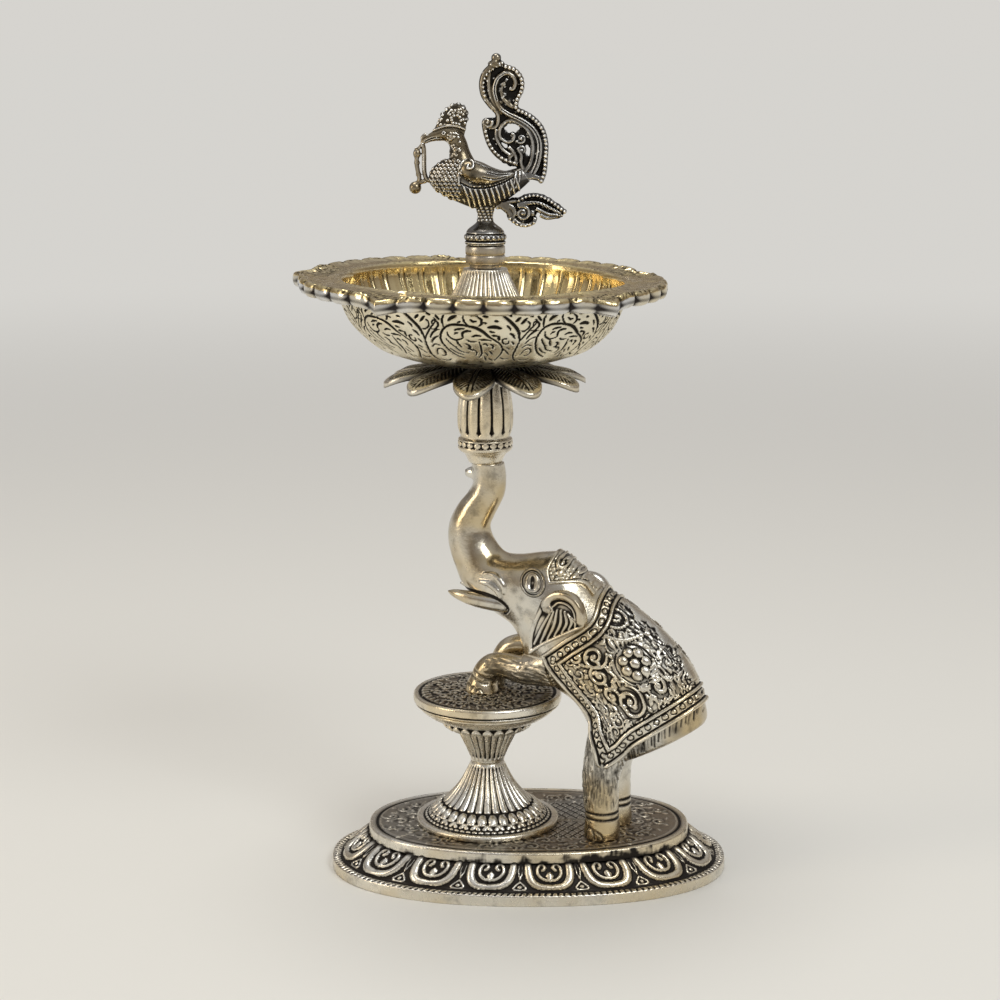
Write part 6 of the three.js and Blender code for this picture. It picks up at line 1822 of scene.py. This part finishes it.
for k in range(FOOT_BEADS):
    angle = 2 * math.pi * k / FOOT_BEADS
    finial.line(on_foot(angle, -9.9), 1.15, 0.3)
    for row in range(5 * (k % 2)):
        finial.line(on_foot(angle + row * math.pi / FOOT_BEADS, -2.2 - row * 0.8), 0.9, 0.25)
for level, width, depth in ((-9.0, 0.5, -0.3), (-10.9, 0.6, -0.4), (-11.7, 0.4, -0.3)):
    ring = [place for a in np.linspace(0, 2 * math.pi, 90) for place in on_foot(a, level)]
    finial.line(ring, width, depth)
peacock_silver = plated_metal(
    "blackened_peacock", (0.24, 0.235, 0.225), (0.29, 0.235, 0.15), (0.02, 0.018, 0.016), 0.14, 0.25, 0.6,
    worn=(0.88, 0.87, 0.83), creased=(0.515, 0.48))
bird = finial.piece("peacock_bird", from_bird, 0.2)
finish(bird, peacock_silver, "finial", "oxidised_plate", "peacock_body")


# Raised tail, lower tail and garland of the peacock
# The tails are flat pierced castings let into the rump: bands that end in volutes, edges of beads and leaves
# in the gaps. The garland hangs from the beak to the breast with a bud and a ball.
BAND_HALF = 1.4


def band(points, start, end, thick):
    """A round band along points in the bird's plane, from one radius to another, cut flat on both sides."""
    path = smooth_path(points, 0.25)
    radius = np.linspace(start, end, len(path))
    rows = limb_rows(np.c_[path[:, 0], 0 * radius, path[:, 1], radius], 20, 0.25)
    rows[:, :, 1] = np.clip(rows[:, :, 1] * thick * 1.5, -BAND_HALF, BAND_HALF)
    return rows


def bead_row(points, radius, pitch, across):
    """Beads along points in the bird's plane. They stand well out of it on both sides."""
    places = even_path(smooth_path(points, 0.1), pitch)
    return [ball_rows((x, 0, z), (radius, across * BEAD_STANDS_OUT, radius), 12) for x, z in places]


def volute(x, z, radius, turns, start, hand, thick, across=1.3):
    """A band that winds into a knob."""
    t = np.linspace(0, 1, 24)
    wind = math.radians(start) + hand * turns * 2 * math.pi * t
    reach = radius * (1 - 0.8 * t)
    points = np.stack([x + reach * np.cos(wind), z + reach * np.sin(wind)], 1)
    return [band(points, thick, thick * 0.75, across),
            ball_rows((x, 0, z), (thick * 1.25, across * 0.9, thick * 1.25), 16)]


BEAD_STANDS_OUT = 1.6
TAIL_SHIFT = np.array([0.0, 0.35])


def shifted(points):
    return [tuple(np.asarray(point) + TAIL_SHIFT) for point in points]


def web(outline, holes, half, pitch=0.8):
    """A thin plate of overlapping flat drops inside an outline, open at the oval holes."""
    outline = np.asarray(outline, float)
    ahead = np.roll(outline, -1, 0)
    drops = []
    for x in np.arange(outline[:, 0].min(), outline[:, 0].max(), pitch):
        for z in np.arange(outline[:, 1].min(), outline[:, 1].max(), pitch):
            over = (outline[:, 1] > z) != (ahead[:, 1] > z)
            share = (z - outline[:, 1]) / (ahead[:, 1] - outline[:, 1] + 1e-9)
            cross = outline[:, 0] + share * (ahead[:, 0] - outline[:, 0])
            kept = (over & (x < cross)).sum() % 2
            for hole_x, hole_z, long, high, tilt in holes:
                a = (x - hole_x) * math.cos(tilt) + (z - hole_z) * math.sin(tilt)
                b = (z - hole_z) * math.cos(tilt) - (x - hole_x) * math.sin(tilt)
                kept = kept and (a / (long + 0.75)) ** 2 + (b / (high + 0.75)) ** 2 > 1
            if kept:
                drops.append(ball_rows((x, 0, z), (0.95, half, 0.95), 10))
    return drops


outer_cord = shifted([(14.9, 4.6), (15.7, 7.0), (16.0, 10.4), (16.1, 14.6), (15.0, 18.4), (12.6, 21.1),
                      (9.9, 22.7), (8.2, 23.6),
                      (8.4, 26.0), (9.6, 28.6), (9.5, 31.4), (7.8, 33.6), (5.4, 34.5)])
tail_parts = [
    band(outer_cord, 0.75, 0.55, 1.15), *bead_row(outer_cord, 0.78, 1.12, 1.1),
    band(shifted([(11.4, 5.4), (13.4, 8.0), (14.3, 11.4), (14.4, 14.6), (13.2, 17.6), (10.9, 19.8),
                  (8.0, 21.4), (5.0, 22.8),
                  (3.2, 25.2), (2.4, 28.4), (3.2, 31.4), (5.2, 32.9), (7.2, 32.2), (8.0, 30.4), (7.4, 28.8),
                  (6.4, 28.9)]),
         1.05, 0.75, 1.15),
    band(shifted([(10.2, 6.6), (12.0, 9.2), (12.7, 12.4), (12.4, 15.6), (10.8, 18.4), (7.8, 20.3),
                  (5.6, 20.2), (4.0, 18.4),
                  (4.0, 16.2), (5.6, 14.9), (7.2, 15.2), (7.7, 16.6), (6.9, 17.2)]), 0.8, 0.6, 1.2),
    band(shifted([(4.0, 35.2), (1.6, 34.4), (-0.2, 32.6), (-0.9, 30.0), (-0.4, 27.0), (1.4, 24.4),
                  (3.2, 22.4), (3.4, 20.0),
                  (2.4, 18.6), (0.9, 18.7)]), 0.9, 0.6, 1.0),
    band(shifted([(1.4, 34.6), (0.9, 31.2), (1.2, 27.8), (2.6, 24.6), (4.6, 22.2)]), 0.75, 0.7, 0.9),
    *bead_row(shifted([(2.9, 34.6), (0.4, 32.6), (-0.6, 29.8), (-0.1, 27.0)]), 0.62, 1.15, 0.95),
    *volute(0.5, 20.4, 1.45, 1.2, 20, -1, 0.62),
    band(shifted([(-0.3, 19.6), (0.2, 17.0), (1.3, 14.0), (3.1, 11.6), (5.6, 9.9), (8.6, 9.0)]), 0.7, 0.8,
         1.0),
    *bead_row(shifted([(0.1, 17.6), (1.0, 14.6), (2.6, 12.2), (5.0, 10.3), (7.8, 9.3)]), 0.72, 1.2, 1.0),
    band(shifted([(3.0, 18.2), (3.0, 15.8), (4.6, 13.0), (6.6, 11.4)]), 0.6, 0.7, 1.15),
    *volute(9.5, 16.1, 1.3, 1.3, 200, 1, 0.55), *volute(9.7, 13.0, 1.1, 1.1, 120, -1, 0.5),
    band(shifted([(6.2, 13.6), (7.4, 12.4), (8.2, 10.6), (8.0, 8.6)]), 0.75, 0.6, 1.2),
    band(shifted([(8.6, 13.4), (9.6, 11.4), (9.6, 9.2), (10.4, 7.0)]), 0.7, 0.7, 1.2),
    band(shifted([(7.4, 11.6), (6.4, 10.2), (7.4, 9.0)]), 0.6, 0.5, 1.3),
    ball_rows((4.9, 0, 30.4), (0.9, 1.0, 0.9), 12), ball_rows((5.0, 0, 27.6), (1.0, 1.0, 1.0), 12),
    ball_rows((4.2, 0, 25.6), (0.8, 0.9, 0.8), 12), ball_rows((6.2, 0, 25.4), (1.2, 0.9, 1.6), 14),
    band(shifted([(5.8, 31.4), (4.4, 29.0), (4.6, 26.6), (6.4, 24.6), (8.0, 23.8)]), 0.6, 0.8, 0.85),
    band([(8.4, 5.6), (10.2, 6.2), (12.4, 6.2), (14.8, 5.6)], 1.1, 0.9, 1.1),
    band([(2.2, 35.0), (2.7, 36.4), (3.1, 38.3)], 1.5, 0.5, 0.85),
    ball_rows((2.9, 0, 37.2), (1.35, 1.25, 1.25), 18),
    *[ball_rows((2.9 + 1.5 * math.cos(a), 0, 35.6 + 0.5 * math.sin(a)), (0.8, 1.0, 0.7), 12)
      for a in (0.3, 1.6, 2.9)],
]
tail_outline = [
    (9.0, 8.6), (5.8, 9.9), (3.4, 11.6), (1.6, 14.0), (0.6, 17.0), (0.2, 19.6), (1.2, 21.4), (3.0, 21.4),
    (3.4, 22.8), (1.7, 24.8), (0.0, 27.2), (-0.5, 30.0), (0.2, 32.6), (1.8, 34.3), (4.0, 35.0), (6.4, 34.4),
    (8.6, 32.8), (9.3, 30.8), (8.9, 28.0), (8.0, 25.8), (8.2, 23.8), (10.2, 22.4), (12.6, 20.8), (14.8, 18.2),
    (15.7, 14.6), (15.6, 10.4), (15.2, 7.2), (14.0, 5.6), (10.6, 6.2)]
tail_holes = ((7.1, 18.9, 1.9, 1.0, 0.1), (4.4, 15.0, 1.7, 0.6, -0.75), (11.7, 12.6, 0.75, 1.5, 0.4))
tail_parts += web(tail_outline, tail_holes, 0.45)
tail_casting = Casting(tail_parts, 0.17, 2)
tail_casting.shade = np.clip((0.86 - np.abs(tail_casting.points[:, 1])) / 0.3, 0, 0.72)
# Painted shade, black, in the deepest hollows of the tail beside its knobs and volutes.
for x, z, radius in ((6.6, 31.2, 1.5), (5.4, 27.4, 1.2), (7.4, 25.8, 1.0), (9.0, 15.0, 1.2),
                     (13.4, 10.6, 1.4), (10.2, 10.2, 1.2)):
    for side in (-1, 1):
        tail_casting.painted_shade_patch(x, z, side, radius, 1.0)
for side in (-1, 1):
    for groove in (
            [(12.6, 6.6), (14.0, 10.2), (14.4, 14.4), (13.2, 17.6), (10.6, 20.0), (7.0, 21.8), (4.4, 23.4)],
            [(3.0, 26.0), (2.4, 28.8), (3.3, 31.4), (5.2, 32.8)]):
        tail_casting.curve(shifted(groove), side, 0.4, -0.3)
tail = tail_casting.piece("peacock_tail_openwork", from_bird, 0.3)
finish(tail, peacock_silver, "finial", "oxidised_plate", "peacock_tail")

train_top = [(4.8, -1.0), (6.8, -0.5), (8.9, -0.2), (11.4, 0.9), (14.2, 1.0), (17.0, -0.2), (19.4, -1.9),
             (21.2, -3.2)]
train_parts = [
    band(train_top, 0.75, 0.5, 1.3), *bead_row(train_top[2:], 0.68, 1.1, 1.2),
    band([(8.6, -1.6), (11.4, -0.9), (14.4, -0.9), (17.2, -2.2), (20.2, -3.7)], 0.85, 0.5, 1.4),
    band([(13.6, -2.4), (15.4, -3.2), (17.2, -3.9), (20.4, -4.2)], 0.8, 0.5, 1.3),
    band([(14.8, -4.0), (16.4, -4.8), (18.6, -4.7), (20.8, -4.2)], 0.75, 0.4, 1.2),
    band([(4.6, -1.8), (6.2, -3.2), (7.2, -4.8), (8.8, -6.2), (11.0, -6.7), (12.8, -6.0), (13.4, -4.8)], 0.9,
         0.65, 1.3),
    *bead_row([(6.6, -5.0), (8.6, -6.5), (10.9, -6.9), (13.0, -6.1)], 0.6, 1.1, 1.2),
    *volute(10.0, -3.7, 2.1, 1.5, 120, -1, 0.7, 1.5),
    band([(5.8, -1.6), (7.2, -2.2), (7.8, -3.6), (7.4, -4.6)], 0.95, 0.7, 1.4),
    ball_rows((7.4, 0, -2.6), (0.9, 1.4, 0.9), 14), ball_rows((12.6, 0, -3.6), (0.9, 1.3, 1.2), 14),
    band([(2.9, -1.4), (4.4, -1.4), (6.0, -1.6)], 1.3, 1.0, 1.1),
]
train_outline = [
    (4.8, -0.8), (7.0, -0.2), (9.0, 0.0), (11.4, 1.0), (14.2, 1.1), (17.0, 0.0), (21.0, -3.0), (20.6, -4.2),
    (18.6, -4.7), (16.2, -4.6), (14.6, -3.4), (13.4, -4.4), (12.8, -6.0), (11.0, -6.7), (8.8, -6.2),
    (7.0, -4.9), (5.6, -3.2), (4.2, -1.8)]
train_parts += web(train_outline, ((14.1, -4.3, 0.5, 0.5, 0),), 0.5)
train_casting = Casting(train_parts, 0.16, 2)
train_casting.shade = np.clip((0.9 - np.abs(train_casting.points[:, 1])) / 0.3, 0, 0.72)
for side in (-1, 1):
    for k in range(9):
        x = 12.4 + k * 0.95
        z = -0.7 - 0.05 * k * k
        train_casting.curve([(x, z), (x + 0.6, z - 0.9)], side, 0.35, -0.25)
train = train_casting.piece("peacock_lower_tail", from_bird, 0.3)
finish(train, peacock_silver, "finial", "oxidised_plate", "peacock_train")

garland_parts = [
    band([(-16.8, 14.9), (-16.4, 13.6), (-16.3, 11.6), (-16.3, 9.2), (-16.2, 7.0), (-15.6, 5.4),
          (-14.4, 4.8)], 0.62, 0.62, 1.0),
    band([(-18.2, 11.2), (-18.3, 9.6), (-18.0, 7.6), (-17.6, 5.8), (-17.8, 4.2)], 0.62, 0.6, 1.0),
    ball_rows((-18.2, 0, 12.1), (1.05, 1.05, 1.35), 20), ball_rows((-18.4, 0, 13.3), (0.45, 0.45, 0.6), 12),
    ball_rows((-18.2, 0, 9.7), (0.85, 0.85, 0.7), 14), ball_rows((-17.8, 0, 6.6), (0.8, 0.8, 0.7), 14),
    band([(-18.6, 4.2), (-17.2, 4.6), (-15.8, 4.9)], 0.6, 0.6, 1.0),
    band([(-18.2, 12.9), (-17.4, 13.9), (-16.7, 14.6)], 0.4, 0.4, 1.0),
    ball_rows((-18.7, 0, 3.1), (1.65, 1.65, 1.65), 28),
]
garland = Casting(garland_parts, 0.14, 2).piece("peacock_bead_strand", from_bird)
finish(garland, peacock_silver, "finial", "oxidised_plate", "peacock_garland")
